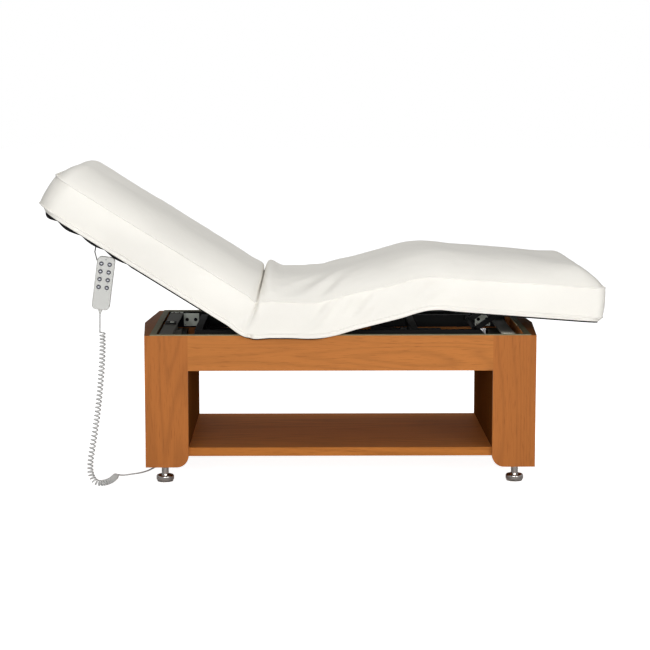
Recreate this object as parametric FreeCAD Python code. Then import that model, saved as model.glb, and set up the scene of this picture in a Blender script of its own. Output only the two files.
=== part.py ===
import FreeCAD, Part
import math
import os
from FreeCAD import Vector

# Spa bed with a cabinet base. X runs along the bed with the foot end at +X,
# Y runs across it with the front face at -Y, and Z is up from the floor. Millimetres.

# Cabinet
CABINET_LENGTH = 1315.0
SIDE_OVERHANG = 30.0
CABINET_TOP = 511.0
CABINET_BOTTOM = 62.6
END_BOW = 26.0
END_PANEL = 18.0
LEG_WIDTH = 127.0
LEG_BOARD = 18.0
LEG_CORNER_RADIUS = 40.0
APRON_HEIGHT = 119.0
SHELF_TOP = 127.0
SHELF_THICKNESS = 29.0
SHELF_SET_BACK = 19.0
INNER_PANEL = 18.0
LEG_FLOOR = 18.0
TRAY_FLOOR = 12.0
RIM_WIDTH = 20.0
RIM_THICKNESS = 3.0
RIM_EDGE = 2.0
STRAP_WIDTH = 46.0
STRAP_THICKNESS = 5.0
STRAP_DROP = 3.0
FOOT_STRAP_DROP = 27.0
STRAP_GAP = 6.0
SIDE_RAIL_WIDTH = 20.0
SIDE_RAIL_HEIGHT = 57.0
SIDE_RAIL_WALL = 2.5
PLATE_LENGTH = 56.0
PLATE_HEIGHT = 47.0
PLATE_THICKNESS = 4.0
PLATE_HOLE_RADIUS = 6.5
PLATE_HOLE_PITCH = 31.0
PLATE_INSET = 120.0
PLATE_DROP = 5.0
CHANNEL_WIDTH = 55.0
CHANNEL_HEIGHT = 44.0
CHANNEL_WALL = 4.0
CHANNEL_INSET = 14.5
FOOT_RADIUS = 30.0
FOOT_HEIGHT = 20.0
FOOT_EDGE = 6.0
FOOT_PAD_RADIUS = 27.0
FOOT_PAD_HEIGHT = 3.0
STEM_RADIUS = 11.75
STEM_THREAD_RADIUS = 8.0
STEM_THREAD = 26.0
FOOT_INSET_X = 60.0
FOOT_INSET_Y = 81.0
LOCK_NUT_RADIUS = 15.0
LOCK_NUT_HEIGHT = 6.0
FIT = 0.3
RUNNING = 0.05

# Mattress and its hinged sections, as they lie when the bed is flat
MATTRESS_WIDTH = 760.0
BOARD_LEVEL = 521.0
SECTION_LIFT = 1.0
BOARD_THICKNESS = 13.0
BOARD_INSET = 8.0
BOARD_GAP = 12.0
BOARD_CORNER = 52.0
BORDER_DROP = 12.0
BORDER_THICKNESS = 6.0
SEAM_HEIGHT = 105.0
CROWN_HEIGHT = 168.0
SIDE_BULGE = 3.0
SHOULDER_DEPTH = 130.0
SHOULDER_SHARE = 0.93
PLAN_CORNER = 60.0
BACK_HINGE_INSET = 352.5
SEAT_LENGTH = 243.0
THIGH_LENGTH = 364.0
CALF_LENGTH = 588.0
BACK_LENGTH = 820.0
BACK_REST_ANGLE = 32.0
BACK_MAX_ANGLE = 75.0
THIGH_REST_ANGLE = 14.2
THIGH_MAX_ANGLE = 28.0
CALF_RATIO = 1.303
FOLD_MARGIN_ANGLE = 0.8

# Lift arms and bed frame
ARM_LENGTH = 385.0
ARM_REST_ANGLE = 4.0
ARM_RISE_ANGLE = 44.0
ARM_PIVOT_CLEAR = 28.0
ARM_TIP_CLEAR = 68.0
ARM_PIVOT_Z = 425.0
ARM_WIDTH = 30.0
ARM_THICKNESS = 12.0
ARM_SIDE_GAP = 3.0
PIVOT_PIN_RADIUS = 8.0
PIVOT_EAR_RADIUS = 14.0
TORQUE_TUBE_RADIUS = 17.0
TORQUE_TUBE_WALL = 4.0
BRACKET_THICKNESS = 8.0
RAIL_INNER = 200.0
RAIL_WIDTH = 25.0
RAIL_HEIGHT = 27.0
RAIL_GAP = 1.5
CROSS_WIDTH = 25.0
LUG_THICKNESS = 12.0
SECTION_BAR_WIDTH = 30.0
SECTION_BAR_Y = 250.0
SECTION_BAR = 5.0
BACK_BAR_LENGTH = 640.0
CALF_BAR_LENGTH = 420.0
HINGE_PIN_RADIUS = 6.0
HINGE_BARREL_RADIUS = 10.0
HINGE_KNUCKLE = 30.0

# Actuators, each with a slotted head that a lever's roller rides in
ROLLER_RADIUS = 7.0
ROLLER_PIN_RADIUS = 4.0
YOKE_WALL = 7.0
YOKE_SLACK = 1.6
YOKE_WIDTH = 12.0
LEVER_PLATE = 6.0
LEVER_WIDTH = 22.0
LEVER_SIDE_GAP = 2.0
ROD_RADIUS = 9.0
HOUSING_RADIUS = 15.0
GEAR_CASE = 46.0
MOTOR_RADIUS = 20.0
MOTOR_LENGTH = 95.0
BACK_LEVER = 66.0
LEG_LEVER = 58.0
LIFT_LEVER = 45.0
BACK_ROD_Y = 70.0
LEG_ROD_Y = -70.0
LIFT_ROD_Y = 20.0
LEG_ACTUATOR_LENGTH = 228.0
LIFT_ACTUATOR_LENGTH = 254.0

# Calf prop
PROP_INSET = 80.0
PROP_LENGTH = 136.0
PROP_Y = 120.0
PROP_BAR = 18.0
PROP_THICKNESS = 8.0
PROP_ROLLER = 10.0
PROP_ROLLER_WIDTH = 24.0
PROP_SHAFT_RADIUS = 9.0
PROP_SHAFT_COVER = 1.5

OVERRUN = 10.0

# Levels and places that follow from the sizes above
CABINET_DEPTH = MATTRESS_WIDTH - 2 * SIDE_OVERHANG
HALF_LENGTH = CABINET_LENGTH / 2
HALF_DEPTH = CABINET_DEPTH / 2
LEG_INNER_X = HALF_LENGTH - END_PANEL - LEG_WIDTH
APRON_BOTTOM = CABINET_TOP - APRON_HEIGHT
TRAY_TOP = APRON_BOTTOM + TRAY_FLOOR
RIM_TOP = CABINET_TOP + RIM_THICKNESS
HALF_WIDTH = MATTRESS_WIDTH / 2
BACK_HINGE_X = BACK_HINGE_INSET - HALF_LENGTH
THIGH_HINGE_X = BACK_HINGE_X + SEAT_LENGTH
PAD_BOTTOM = BOARD_LEVEL + BOARD_THICKNESS
HINGE_Z = PAD_BOTTOM - FIT - HINGE_BARREL_RADIUS
KNEE_X = THIGH_HINGE_X + THIGH_LENGTH
HEAD_END = BACK_HINGE_X - BACK_LENGTH
FOOT_END = KNEE_X + CALF_LENGTH
CALF_REST_ANGLE = THIGH_REST_ANGLE * CALF_RATIO
RAIL_TOP = HINGE_Z - HINGE_BARREL_RADIUS - RAIL_GAP
RAIL_BOTTOM = RAIL_TOP - RAIL_HEIGHT
CHANNEL_OUTER = HALF_LENGTH - END_PANEL - RIM_WIDTH - CHANNEL_INSET
CHANNEL_TOP = TRAY_TOP + CHANNEL_HEIGHT
CHANNEL_INNER = CHANNEL_OUTER - CHANNEL_WIDTH
ARM_PIVOT_X = CHANNEL_INNER - ARM_PIVOT_CLEAR
ARM_REACH = ARM_LENGTH * math.cos(math.radians(ARM_REST_ANGLE))
ARM_SPACING = ARM_PIVOT_X - ARM_REACH + CHANNEL_INNER - ARM_TIP_CLEAR
PROP_PIVOT_X = CHANNEL_INNER - PROP_INSET
LEG_ACTUATOR_MOUTH_X = THIGH_HINGE_X + LEG_LEVER + ROLLER_RADIUS * 3
LEG_ACTUATOR_REAR_X = LEG_ACTUATOR_MOUTH_X + LEG_ACTUATOR_LENGTH

nodes = {}
cord_nodes = []


def block(x0, x1, y0, y1, z0, z1):
    """A box from its lowest to its highest corner."""
    return Part.makeBox(x1 - x0, y1 - y0, z1 - z0, Vector(x0, y0, z0))


def round_bar(x, z, y0, y1, radius):
    """A cylinder along Y."""
    return Part.makeCylinder(radius, y1 - y0, Vector(x, y0, z), Vector(0, 1, 0))


def post(x, y, z0, z1, radius):
    """A cylinder along Z."""
    return Part.makeCylinder(radius, z1 - z0, Vector(x, y, z0), Vector(0, 0, 1))


def rod_along_x(x0, x1, y, z, radius):
    """A cylinder along X."""
    return Part.makeCylinder(radius, x1 - x0, Vector(x0, y, z), Vector(1, 0, 0))


def side_plate(points, y0, y1):
    """A plate whose outline is drawn in X and Z, from y0 to y1."""
    corners = [Vector(x, y0, z) for x, z in points]
    face = Part.Face(Part.makePolygon(corners + corners[:1]))
    return face.extrude(Vector(0, y1 - y0, 0))


def link_bar(start, end, width, y0, y1):
    """A flat bar with round ends between two points in X and Z."""
    run = Vector(end[0] - start[0], 0, end[1] - start[1])
    side = Vector(-run.z, 0, run.x)
    side.normalize()
    side = side * (width / 2)
    a = Vector(start[0], y0, start[1])
    b = Vector(end[0], y0, end[1])
    run.normalize()
    cap = run * (width / 2)
    edges = [
        Part.LineSegment(a + side, b + side).toShape(),
        Part.Arc(b + side, b + cap, b - side).toShape(),
        Part.LineSegment(b - side, a - side).toShape(),
        Part.Arc(a - side, a - cap, a + side).toShape(),
    ]
    return Part.Face(Part.Wire(edges)).extrude(Vector(0, y1 - y0, 0))


def both_sides(shape):
    """The shape and its copy on the other side of the bed."""
    return [shape, shape.mirror(Vector(0, 0, 0), Vector(0, 1, 0))]


def joined(shapes):
    """One solid from shapes that touch or overlap."""
    whole = shapes[0]
    for shape in shapes[1:]:
        whole = whole.fuse(shape)
    return whole.removeSplitter()


def turned(shape, x, z, degrees):
    """The shape turned about a line along Y; a positive angle raises what lies towards -X."""
    copy = shape.copy()
    copy.rotate(Vector(x, 0, z), Vector(0, 1, 0), degrees)
    return copy


def turned_point(point, pivot, degrees):
    """Where a point in X and Z goes when it turns about another."""
    a = math.radians(degrees)
    dx, dz = point[0] - pivot[0], point[1] - pivot[1]
    return (
        pivot[0] + dx * math.cos(a) + dz * math.sin(a),
        pivot[1] - dx * math.sin(a) + dz * math.cos(a),
    )


def keep(name, *shapes):
    """Put the solids of some shapes in a node."""
    solids = [solid for shape in shapes for solid in shape.Solids]
    nodes.setdefault(name, []).extend(solids)


def leg_board(x_side, y_side):
    """A front or rear leg board, with the corner under the bay rounded."""
    x0, x1 = LEG_INNER_X, HALF_LENGTH - END_PANEL
    y0, y1 = HALF_DEPTH - LEG_BOARD, HALF_DEPTH
    board = block(x0, x1, y0, y1, CABINET_BOTTOM, CABINET_TOP)
    corner = [
        e
        for e in board.Edges
        if abs(e.CenterOfMass.x - x0) < FIT and abs(e.CenterOfMass.z - CABINET_BOTTOM) < FIT
    ]
    board = board.makeFillet(LEG_CORNER_RADIUS, corner)
    if x_side < 0:
        board = board.mirror(Vector(0, 0, 0), Vector(1, 0, 0))
    if y_side < 0:
        board = board.mirror(Vector(0, 0, 0), Vector(0, 1, 0))
    return board


def end_panel(side):
    """An end panel, flat inside and bowed to a ridge at mid-depth outside."""
    inner = side * (HALF_LENGTH - END_PANEL)
    outer = side * HALF_LENGTH
    ridge = side * (HALF_LENGTH + END_BOW)
    outline = [
        (inner, -HALF_DEPTH),
        (outer, -HALF_DEPTH),
        (ridge, 0),
        (outer, HALF_DEPTH),
        (inner, HALF_DEPTH),
    ]
    corners = [Vector(x, y, CABINET_BOTTOM) for x, y in outline]
    face = Part.Face(Part.makePolygon(corners + corners[:1]))
    return face.extrude(Vector(0, 0, CABINET_TOP - CABINET_BOTTOM))


def make_cabinet():
    inside_y = HALF_DEPTH - LEG_BOARD
    for y_side in (-1, 1):
        keep("leg_boards", leg_board(-1, y_side), leg_board(1, y_side))
    apron = block(
        -LEG_INNER_X, LEG_INNER_X, -HALF_DEPTH, -inside_y, APRON_BOTTOM, CABINET_TOP
    )
    keep("aprons", *both_sides(apron))
    keep("end_panels", end_panel(-1), end_panel(1))
    inner = block(
        LEG_INNER_X,
        LEG_INNER_X + INNER_PANEL,
        -inside_y,
        inside_y,
        SHELF_TOP - SHELF_THICKNESS,
        APRON_BOTTOM,
    )
    keep("bay_side_panels", inner, inner.mirror(Vector(0, 0, 0), Vector(1, 0, 0)))
    floor = block(
        LEG_INNER_X + LEG_CORNER_RADIUS,
        HALF_LENGTH - END_PANEL,
        -inside_y,
        inside_y,
        CABINET_BOTTOM,
        CABINET_BOTTOM + LEG_FLOOR,
    )
    keep("leg_floor_panels", floor, floor.mirror(Vector(0, 0, 0), Vector(1, 0, 0)))
    shelf_y = HALF_DEPTH - SHELF_SET_BACK
    shelf = block(
        -LEG_INNER_X, LEG_INNER_X, -shelf_y, shelf_y, SHELF_TOP - SHELF_THICKNESS, SHELF_TOP
    )
    keep("shelf", shelf)
    tray_x = HALF_LENGTH - END_PANEL
    keep("tray_floor", block(-tray_x, tray_x, -inside_y, inside_y, APRON_BOTTOM, TRAY_TOP))


def make_rim_and_rails():
    out_x = HALF_LENGTH - END_PANEL
    out_y = HALF_DEPTH - RIM_EDGE
    in_x, in_y = out_x - RIM_WIDTH, out_y - RIM_WIDTH
    ring = block(-out_x, out_x, -out_y, out_y, CABINET_TOP, RIM_TOP)
    ring = ring.cut(block(-in_x, in_x, -in_y, in_y, CABINET_TOP - OVERRUN, RIM_TOP + OVERRUN))
    keep("rim_frame", ring)
    rail_y = HALF_DEPTH - LEG_BOARD
    rail_bottom = CABINET_TOP - SIDE_RAIL_HEIGHT
    rail = block(
        -in_x, in_x, -rail_y, -rail_y + SIDE_RAIL_WIDTH, rail_bottom, CABINET_TOP
    )
    hollow = block(
        -in_x - OVERRUN,
        in_x + OVERRUN,
        -rail_y + SIDE_RAIL_WALL,
        -rail_y + SIDE_RAIL_WIDTH - SIDE_RAIL_WALL,
        rail_bottom + SIDE_RAIL_WALL,
        CABINET_TOP - SIDE_RAIL_WALL,
    )
    keep("side_rails", *both_sides(rail.cut(hollow)))
    plate_top = CABINET_TOP - PLATE_DROP
    plate_face = -rail_y + SIDE_RAIL_WIDTH
    for side in (-1, 1):
        mid = side * (HALF_LENGTH - PLATE_INSET)
        plate = block(
            mid - PLATE_LENGTH / 2,
            mid + PLATE_LENGTH / 2,
            plate_face,
            plate_face + PLATE_THICKNESS,
            plate_top - PLATE_HEIGHT,
            plate_top,
        )
        for hole in (-1, 1):
            x = mid + hole * PLATE_HOLE_PITCH / 2
            z = plate_top - PLATE_HEIGHT / 2
            y0 = plate_face - OVERRUN
            bore = round_bar(x, z, y0, plate_face + PLATE_THICKNESS + OVERRUN, PLATE_HOLE_RADIUS)
            plate = plate.cut(bore)
        keep("rail_plates", *both_sides(plate))
    strap_y = rail_y - SIDE_RAIL_WIDTH
    for side, drop in ((-1, STRAP_DROP), (1, FOOT_STRAP_DROP)):
        x0, x1 = sorted((side * (in_x - STRAP_GAP), side * (in_x - STRAP_GAP - STRAP_WIDTH)))
        top = CABINET_TOP - drop
        keep("cross_channels", block(x0, x1, -strap_y, strap_y, top - STRAP_THICKNESS, top))


def channel(x0, x1):
    """A cross channel on the tray floor, from one side rail's face to the other."""
    y = HALF_DEPTH - LEG_BOARD
    outer = block(x0, x1, -y, y, TRAY_TOP, CHANNEL_TOP)
    hollow = block(
        x0 + CHANNEL_WALL,
        x1 - CHANNEL_WALL,
        -y - OVERRUN,
        y + OVERRUN,
        TRAY_TOP - OVERRUN,
        CHANNEL_TOP - CHANNEL_WALL,
    )
    return outer.cut(hollow)


def make_feet():
    for name, x_side, y_side in (
        ("front_head_foot", -1, -1),
        ("front_foot_foot", 1, -1),
        ("rear_head_foot", -1, 1),
        ("rear_foot_foot", 1, 1),
    ):
        x = x_side * (HALF_LENGTH - FOOT_INSET_X)
        y = y_side * (HALF_DEPTH - FOOT_INSET_Y)
        disc = post(x, y, FOOT_PAD_HEIGHT, FOOT_PAD_HEIGHT + FOOT_HEIGHT, FOOT_RADIUS)
        disc = disc.makeFillet(FOOT_EDGE, [e for e in disc.Edges if e.Length > 4 * FOOT_RADIUS])
        pad = post(x, y, 0, FOOT_PAD_HEIGHT, FOOT_PAD_RADIUS)
        nut_bottom = CABINET_BOTTOM - LOCK_NUT_HEIGHT
        stem = post(x, y, FOOT_PAD_HEIGHT + FOOT_HEIGHT / 2, nut_bottom - FIT, STEM_RADIUS)
        thread = post(x, y, nut_bottom - STEM_THREAD, nut_bottom + STEM_THREAD, STEM_THREAD_RADIUS)
        keep(name, joined([disc, pad, stem, thread]))
        nut = post(x, y, nut_bottom, CABINET_BOTTOM, LOCK_NUT_RADIUS)
        bore = post(x, y, 0, CABINET_TOP, STEM_THREAD_RADIUS + RUNNING)
        keep("foot_lock_nuts", nut.cut(bore))
        panels = nodes["leg_floor_panels"]
        nodes["leg_floor_panels"] = [p for panel in panels for p in panel.cut(bore).Solids]


def make_channels():
    keep("cross_channels", channel(-CHANNEL_OUTER, -CHANNEL_INNER))
    keep("cross_channels", channel(CHANNEL_INNER, CHANNEL_OUTER))
    head_pivot_x = ARM_PIVOT_X - ARM_SPACING
    mid = head_pivot_x + PIVOT_EAR_RADIUS * 2
    keep("cross_channels", channel(mid, mid + CHANNEL_WIDTH))
    y1 = RAIL_INNER + RAIL_WIDTH + ARM_SIDE_GAP + ARM_THICKNESS + ARM_SIDE_GAP
    for pivot_x, plate_x in (
        (head_pivot_x, mid),
        (ARM_PIVOT_X, CHANNEL_INNER),
    ):
        ear = link_bar(
            (pivot_x, ARM_PIVOT_Z),
            (plate_x - PIVOT_EAR_RADIUS, ARM_PIVOT_Z),
            2 * PIVOT_EAR_RADIUS,
            -y1 - BRACKET_THICKNESS,
            -y1,
        )
        web = block(
            plate_x - PIVOT_EAR_RADIUS,
            plate_x,
            -y1 - BRACKET_THICKNESS,
            -y1,
            TRAY_TOP,
            CHANNEL_TOP,
        )
        pin_end = -RAIL_INNER - RAIL_WIDTH - ARM_SIDE_GAP
        pin = round_bar(pivot_x, ARM_PIVOT_Z, -y1 - BRACKET_THICKNESS, pin_end, PIVOT_PIN_RADIUS)
        bore = round_bar(
            pivot_x, ARM_PIVOT_Z, -y1 - BRACKET_THICKNESS - OVERRUN, -y1 + OVERRUN, PIVOT_PIN_RADIUS
        )
        bracket = joined([ear, web]).cut(bore)
        keep("arm_pivot_brackets", *both_sides(bracket))
        keep("arm_pivot_brackets", *both_sides(pin))


def arm_pair(pivot_x, lever):
    """Two lift arms joined by a torque tube at their lower pivots, in their rest pose."""
    pivot = (pivot_x, ARM_PIVOT_Z)
    tip = turned_point((pivot_x - ARM_LENGTH, ARM_PIVOT_Z), pivot, ARM_REST_ANGLE)
    y0 = RAIL_INNER + RAIL_WIDTH + ARM_SIDE_GAP
    y1 = y0 + ARM_THICKNESS
    arm = link_bar(pivot, tip, ARM_WIDTH, -y1, -y0)
    for x, z in (pivot, tip):
        bore = round_bar(x, z, -y1 - OVERRUN, -y0 + OVERRUN, PIVOT_PIN_RADIUS + RUNNING)
        arm = arm.cut(bore)
    tube = round_bar(pivot_x, ARM_PIVOT_Z, -y0, y0, TORQUE_TUBE_RADIUS)
    bore = round_bar(
        pivot_x,
        ARM_PIVOT_Z,
        -y0 - OVERRUN,
        y0 + OVERRUN,
        TORQUE_TUBE_RADIUS - TORQUE_TUBE_WALL,
    )
    pieces = both_sides(arm) + [tube.cut(bore)]
    if lever:
        plates, roller = lever_parts(pivot, LIFT_LEVER, 180 - ARM_RISE_ANGLE / 2, LIFT_ROD_Y)
        plates = [p.cut(round_bar(pivot_x, ARM_PIVOT_Z, -y0, y0, TORQUE_TUBE_RADIUS)) for p in plates]
        pieces += plates
        keep("foot_lift_arms", roller)
    return joined(pieces)


def lever_parts(pivot, length, degrees, y):
    """A lever's two plates and the roller between them; 0 degrees hangs straight down."""
    tip = turned_point((pivot[0], pivot[1] - length), pivot, degrees)
    inner = YOKE_WIDTH / 2 + LEVER_SIDE_GAP
    plates = []
    for side in (-1, 1):
        y0, y1 = sorted((y + side * inner, y + side * (inner + LEVER_PLATE)))
        plate = link_bar(pivot, tip, LEVER_WIDTH, y0, y1)
        plate = plate.cut(round_bar(tip[0], tip[1], y0 - OVERRUN, y1 + OVERRUN, ROLLER_PIN_RADIUS))
        plates.append(plate)
    half = inner + LEVER_PLATE
    roller = round_bar(tip[0], tip[1], y - YOKE_WIDTH / 2, y + YOKE_WIDTH / 2, ROLLER_RADIUS)
    pin = round_bar(tip[0], tip[1], y - half, y + half, ROLLER_PIN_RADIUS)
    return plates, joined([roller, pin])


def rod_and_yoke(x, z, y, reach, away):
    """A rod that ends in a slotted yoke around a lever's roller."""
    half_slot = ROLLER_RADIUS + YOKE_SLACK
    half_x = half_slot + YOKE_WALL
    half_z = half_slot + reach
    y0, y1 = y - YOKE_WIDTH / 2, y + YOKE_WIDTH / 2
    outer = block(x - half_x, x + half_x, y0, y1, z - half_z - YOKE_WALL, z + half_z + YOKE_WALL)
    slot = block(x - half_slot, x + half_slot, y0 - OVERRUN, y1 + OVERRUN, z - half_z, z + half_z)
    start, end = sorted((x + away[0], x + away[1]))
    rod = rod_along_x(start, end, y, z, ROD_RADIUS)
    y0, y1, z0, z1 = y - ROD_RADIUS, y + ROD_RADIUS, z - ROD_RADIUS, z + ROD_RADIUS
    rod = rod.cut(block(x - half_x, x + half_x, y0, y1, z0, z1))
    return joined([outer.cut(slot), rod])


def actuator_housing(mouth, rear, z, y, motor_side):
    """A tube the rod slides in, a gear case behind it and a motor beside the tube."""
    direction = 1 if rear > mouth else -1
    case = rear - direction * GEAR_CASE
    x0, x1 = sorted((mouth, case))
    tube = rod_along_x(x0, x1, y, z, HOUSING_RADIUS)
    g0, g1 = sorted((case, rear))
    width = HOUSING_RADIUS + MOTOR_RADIUS * 2
    y0, y1 = sorted((y - motor_side * HOUSING_RADIUS, y + motor_side * width))
    gears = block(g0, g1, y0, y1, z - HOUSING_RADIUS, z + HOUSING_RADIUS)
    m0, m1 = sorted((case, case - direction * MOTOR_LENGTH))
    motor_y = y + motor_side * (HOUSING_RADIUS + MOTOR_RADIUS)
    motor = rod_along_x(m0, m1, motor_y, z, HOUSING_RADIUS)
    body = joined([tube, gears, motor])
    bore = rod_along_x(x0 - OVERRUN, x1 + OVERRUN, y, z, ROD_RADIUS + FIT)
    if direction > 0:
        bore = rod_along_x(mouth - OVERRUN, case, y, z, ROD_RADIUS + FIT)
    else:
        bore = rod_along_x(case, mouth + OVERRUN, y, z, ROD_RADIUS + FIT)
    return body.cut(bore)


def make_bed_frame():
    head_pivot_x = ARM_PIVOT_X - ARM_SPACING
    inner, outer = RAIL_INNER, RAIL_INNER + RAIL_WIDTH
    pieces = []
    tips = []
    for pivot_x in (head_pivot_x, ARM_PIVOT_X):
        pivot = (pivot_x, ARM_PIVOT_Z)
        tips.append(turned_point((pivot_x - ARM_LENGTH, ARM_PIVOT_Z), pivot, ARM_REST_ANGLE))
    rail_start = tips[0][0] - PIVOT_EAR_RADIUS
    rail_end = PROP_PIVOT_X + PIVOT_EAR_RADIUS
    rail = block(rail_start, rail_end, -outer, -inner, RAIL_BOTTOM, RAIL_TOP)
    pieces += both_sides(rail)
    pin_end = RAIL_INNER + RAIL_WIDTH + ARM_SIDE_GAP + ARM_THICKNESS + ARM_SIDE_GAP / 2
    for tip in tips:
        width, ear_inner = 2 * PIVOT_EAR_RADIUS, -outer + LUG_THICKNESS
        ear = link_bar(tip, (tip[0], RAIL_BOTTOM), width, -outer, ear_inner)
        bore = round_bar(*tip, -outer - OVERRUN, ear_inner + OVERRUN, PIVOT_PIN_RADIUS)
        pieces += both_sides(ear.cut(bore))
        pin = round_bar(tip[0], tip[1], -pin_end, -outer + LUG_THICKNESS, PIVOT_PIN_RADIUS)
        keep("bed_frame_pins", *both_sides(pin))
    cross_places = (
        rail_start,
        BACK_HINGE_X + BACK_LEVER,
        THIGH_HINGE_X + LEG_LEVER - CROSS_WIDTH / 2,
        LEG_ACTUATOR_REAR_X,
    )
    rear_lugs = ((2, BACK_ROD_Y), (3, LEG_ROD_Y))
    for x in cross_places:
        pieces.append(block(x, x + CROSS_WIDTH, -inner, inner, RAIL_BOTTOM, RAIL_TOP))
    for place, y in rear_lugs:
        x = cross_places[place]
        z0 = rod_height(place) - HOUSING_RADIUS
        pieces.append(
            block(x, x + CROSS_WIDTH, y - HOUSING_RADIUS, y + HOUSING_RADIUS, z0, RAIL_TOP)
        )
    for hinge_x in (BACK_HINGE_X, THIGH_HINGE_X):
        hinge, foot = (hinge_x, HINGE_Z), (hinge_x, RAIL_TOP - HINGE_BARREL_RADIUS)
        lug_outer = -inner - LUG_THICKNESS
        lug = link_bar(hinge, foot, 2 * HINGE_BARREL_RADIUS, lug_outer, -inner)
        bore = round_bar(hinge_x, HINGE_Z, lug_outer - OVERRUN, -inner + OVERRUN, HINGE_PIN_RADIUS)
        pieces += both_sides(lug.cut(bore))
    seat_pad_x = (BACK_HINGE_X + BOARD_GAP, THIGH_HINGE_X - BOARD_GAP)
    spacer = block(seat_pad_x[0], seat_pad_x[1], -outer, -inner, RAIL_TOP, BOARD_LEVEL)
    pieces += both_sides(spacer)
    frame = joined(pieces)
    shaft = round_bar(PROP_PIVOT_X, prop_pivot_z(), -inner, inner, PROP_SHAFT_RADIUS)
    keep("bed_frame", frame)
    keep("bed_frame_pins", shaft)


def prop_pivot_z():
    """The height of the calf prop's shaft, just under the top of the frame rails."""
    return RAIL_TOP - PROP_SHAFT_RADIUS - PROP_SHAFT_COVER


def rod_height(place):
    """The height of the back rod (place 2) or the leg rod (place 3)."""
    lever, swing = (BACK_LEVER, BACK_MAX_ANGLE / 2) if place == 2 else (LEG_LEVER, THIGH_MAX_ANGLE / 2)
    return HINGE_Z - lever * (1 + math.cos(math.radians(swing))) / 2


def section_bars(x0, x1, hinges):
    """Two flat bars under a board, with a barrel at each hinge given as (x, inner y)."""
    z1 = BOARD_LEVEL + SECTION_LIFT
    z0 = z1 - SECTION_BAR
    y_in = hinges[0][1]
    bars = [block(x0, x1, -y_in - SECTION_BAR_WIDTH, -y_in, z0, z1)]
    for hinge_x, y in hinges:
        barrel = round_bar(hinge_x, HINGE_Z, -y - LUG_THICKNESS, -y, HINGE_BARREL_RADIUS)
        a, b = sorted((hinge_x, x0 if abs(hinge_x - x0) < abs(hinge_x - x1) else x1))
        tongue = block(a, b, -y - LUG_THICKNESS, -y, z0, z1)
        bore = round_bar(
            hinge_x, HINGE_Z, -y - LUG_THICKNESS - OVERRUN, -y + OVERRUN, HINGE_PIN_RADIUS + RUNNING
        )
        bars += [joined([barrel, tongue]).cut(bore)]
    return both_sides(joined(bars))


def plan_outline(inset, corner, z0, z1):
    """The whole mattress's plan with round corners, inset all round, from z0 to z1."""
    plate = block(
        HEAD_END + inset, FOOT_END - inset, -HALF_WIDTH + inset, HALF_WIDTH - inset, z0, z1
    )
    upright = [e for e in plate.Edges if abs(e.Vertexes[0].Z - e.Vertexes[1].Z) > (z1 - z0) / 2]
    return plate.makeFillet(corner, upright)


def between(x0, lean0, x1, lean1, y_half):
    """The space between two planes through hinge lines, each leaning in degrees towards +X."""
    z0, z1 = HINGE_Z - 2 * BOARD_THICKNESS, HINGE_Z + 2 * CROWN_HEIGHT
    points = [
        (x0 + (z0 - HINGE_Z) * math.tan(math.radians(lean0)), z0),
        (x0 + (z1 - HINGE_Z) * math.tan(math.radians(lean0)), z1),
        (x1 + (z1 - HINGE_Z) * math.tan(math.radians(lean1)), z1),
        (x1 + (z0 - HINGE_Z) * math.tan(math.radians(lean1)), z0),
    ]
    return side_plate(points, -y_half, y_half)


def wedge(x, lean0, lean1, y_half):
    """The space above a hinge line between two planes through it."""
    z1 = HINGE_Z + 2 * CROWN_HEIGHT
    rise = z1 - HINGE_Z
    points = [
        (x, HINGE_Z),
        (x + rise * math.tan(math.radians(lean0)), z1),
        (x + rise * math.tan(math.radians(lean1)), z1),
    ]
    return side_plate(points, -y_half, y_half)


def crowned_pad():
    """The whole mattress laid flat: drawn-in sides, a soft shoulder and a crown."""
    half = HALF_WIDTH - SIDE_BULGE
    seam = BOARD_LEVEL + SEAM_HEIGHT
    crown = BOARD_LEVEL + CROWN_HEIGHT
    shoulder_y = half - SHOULDER_DEPTH
    shoulder_z = seam + (crown - seam) * SHOULDER_SHARE
    bend_y = half - SHOULDER_DEPTH * (1 - SHOULDER_SHARE) * 4
    bend_z = seam + (crown - seam) * SHOULDER_SHARE / 2
    x0 = HEAD_END - OVERRUN
    def at(y, z):
        return Vector(x0, y, z)
    edges = [Part.LineSegment(at(-half, PAD_BOTTOM), at(half, PAD_BOTTOM)).toShape()]
    mid_z = (PAD_BOTTOM + seam) / 2
    edges.append(Part.Arc(at(half, PAD_BOTTOM), at(HALF_WIDTH, mid_z), at(half, seam)).toShape())
    edges.append(
        Part.Arc(at(half, seam), at(bend_y, bend_z), at(shoulder_y, shoulder_z)).toShape()
    )
    edges.append(
        Part.Arc(
            at(shoulder_y, shoulder_z), at(0, crown), at(-shoulder_y, shoulder_z)
        ).toShape()
    )
    edges.append(
        Part.Arc(at(-shoulder_y, shoulder_z), at(-bend_y, bend_z), at(-half, seam)).toShape()
    )
    edges.append(Part.Arc(at(-half, seam), at(-HALF_WIDTH, mid_z), at(-half, PAD_BOTTOM)).toShape())
    run = FOOT_END - HEAD_END + 2 * OVERRUN
    across = Part.Face(Part.Wire(edges)).extrude(Vector(run, 0, 0))
    along = lengthwise_form(seam, crown, shoulder_z, bend_z)
    plan = plan_outline(0, PLAN_CORNER, PAD_BOTTOM, crown + OVERRUN)
    return across.common(along).common(plan)


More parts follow.
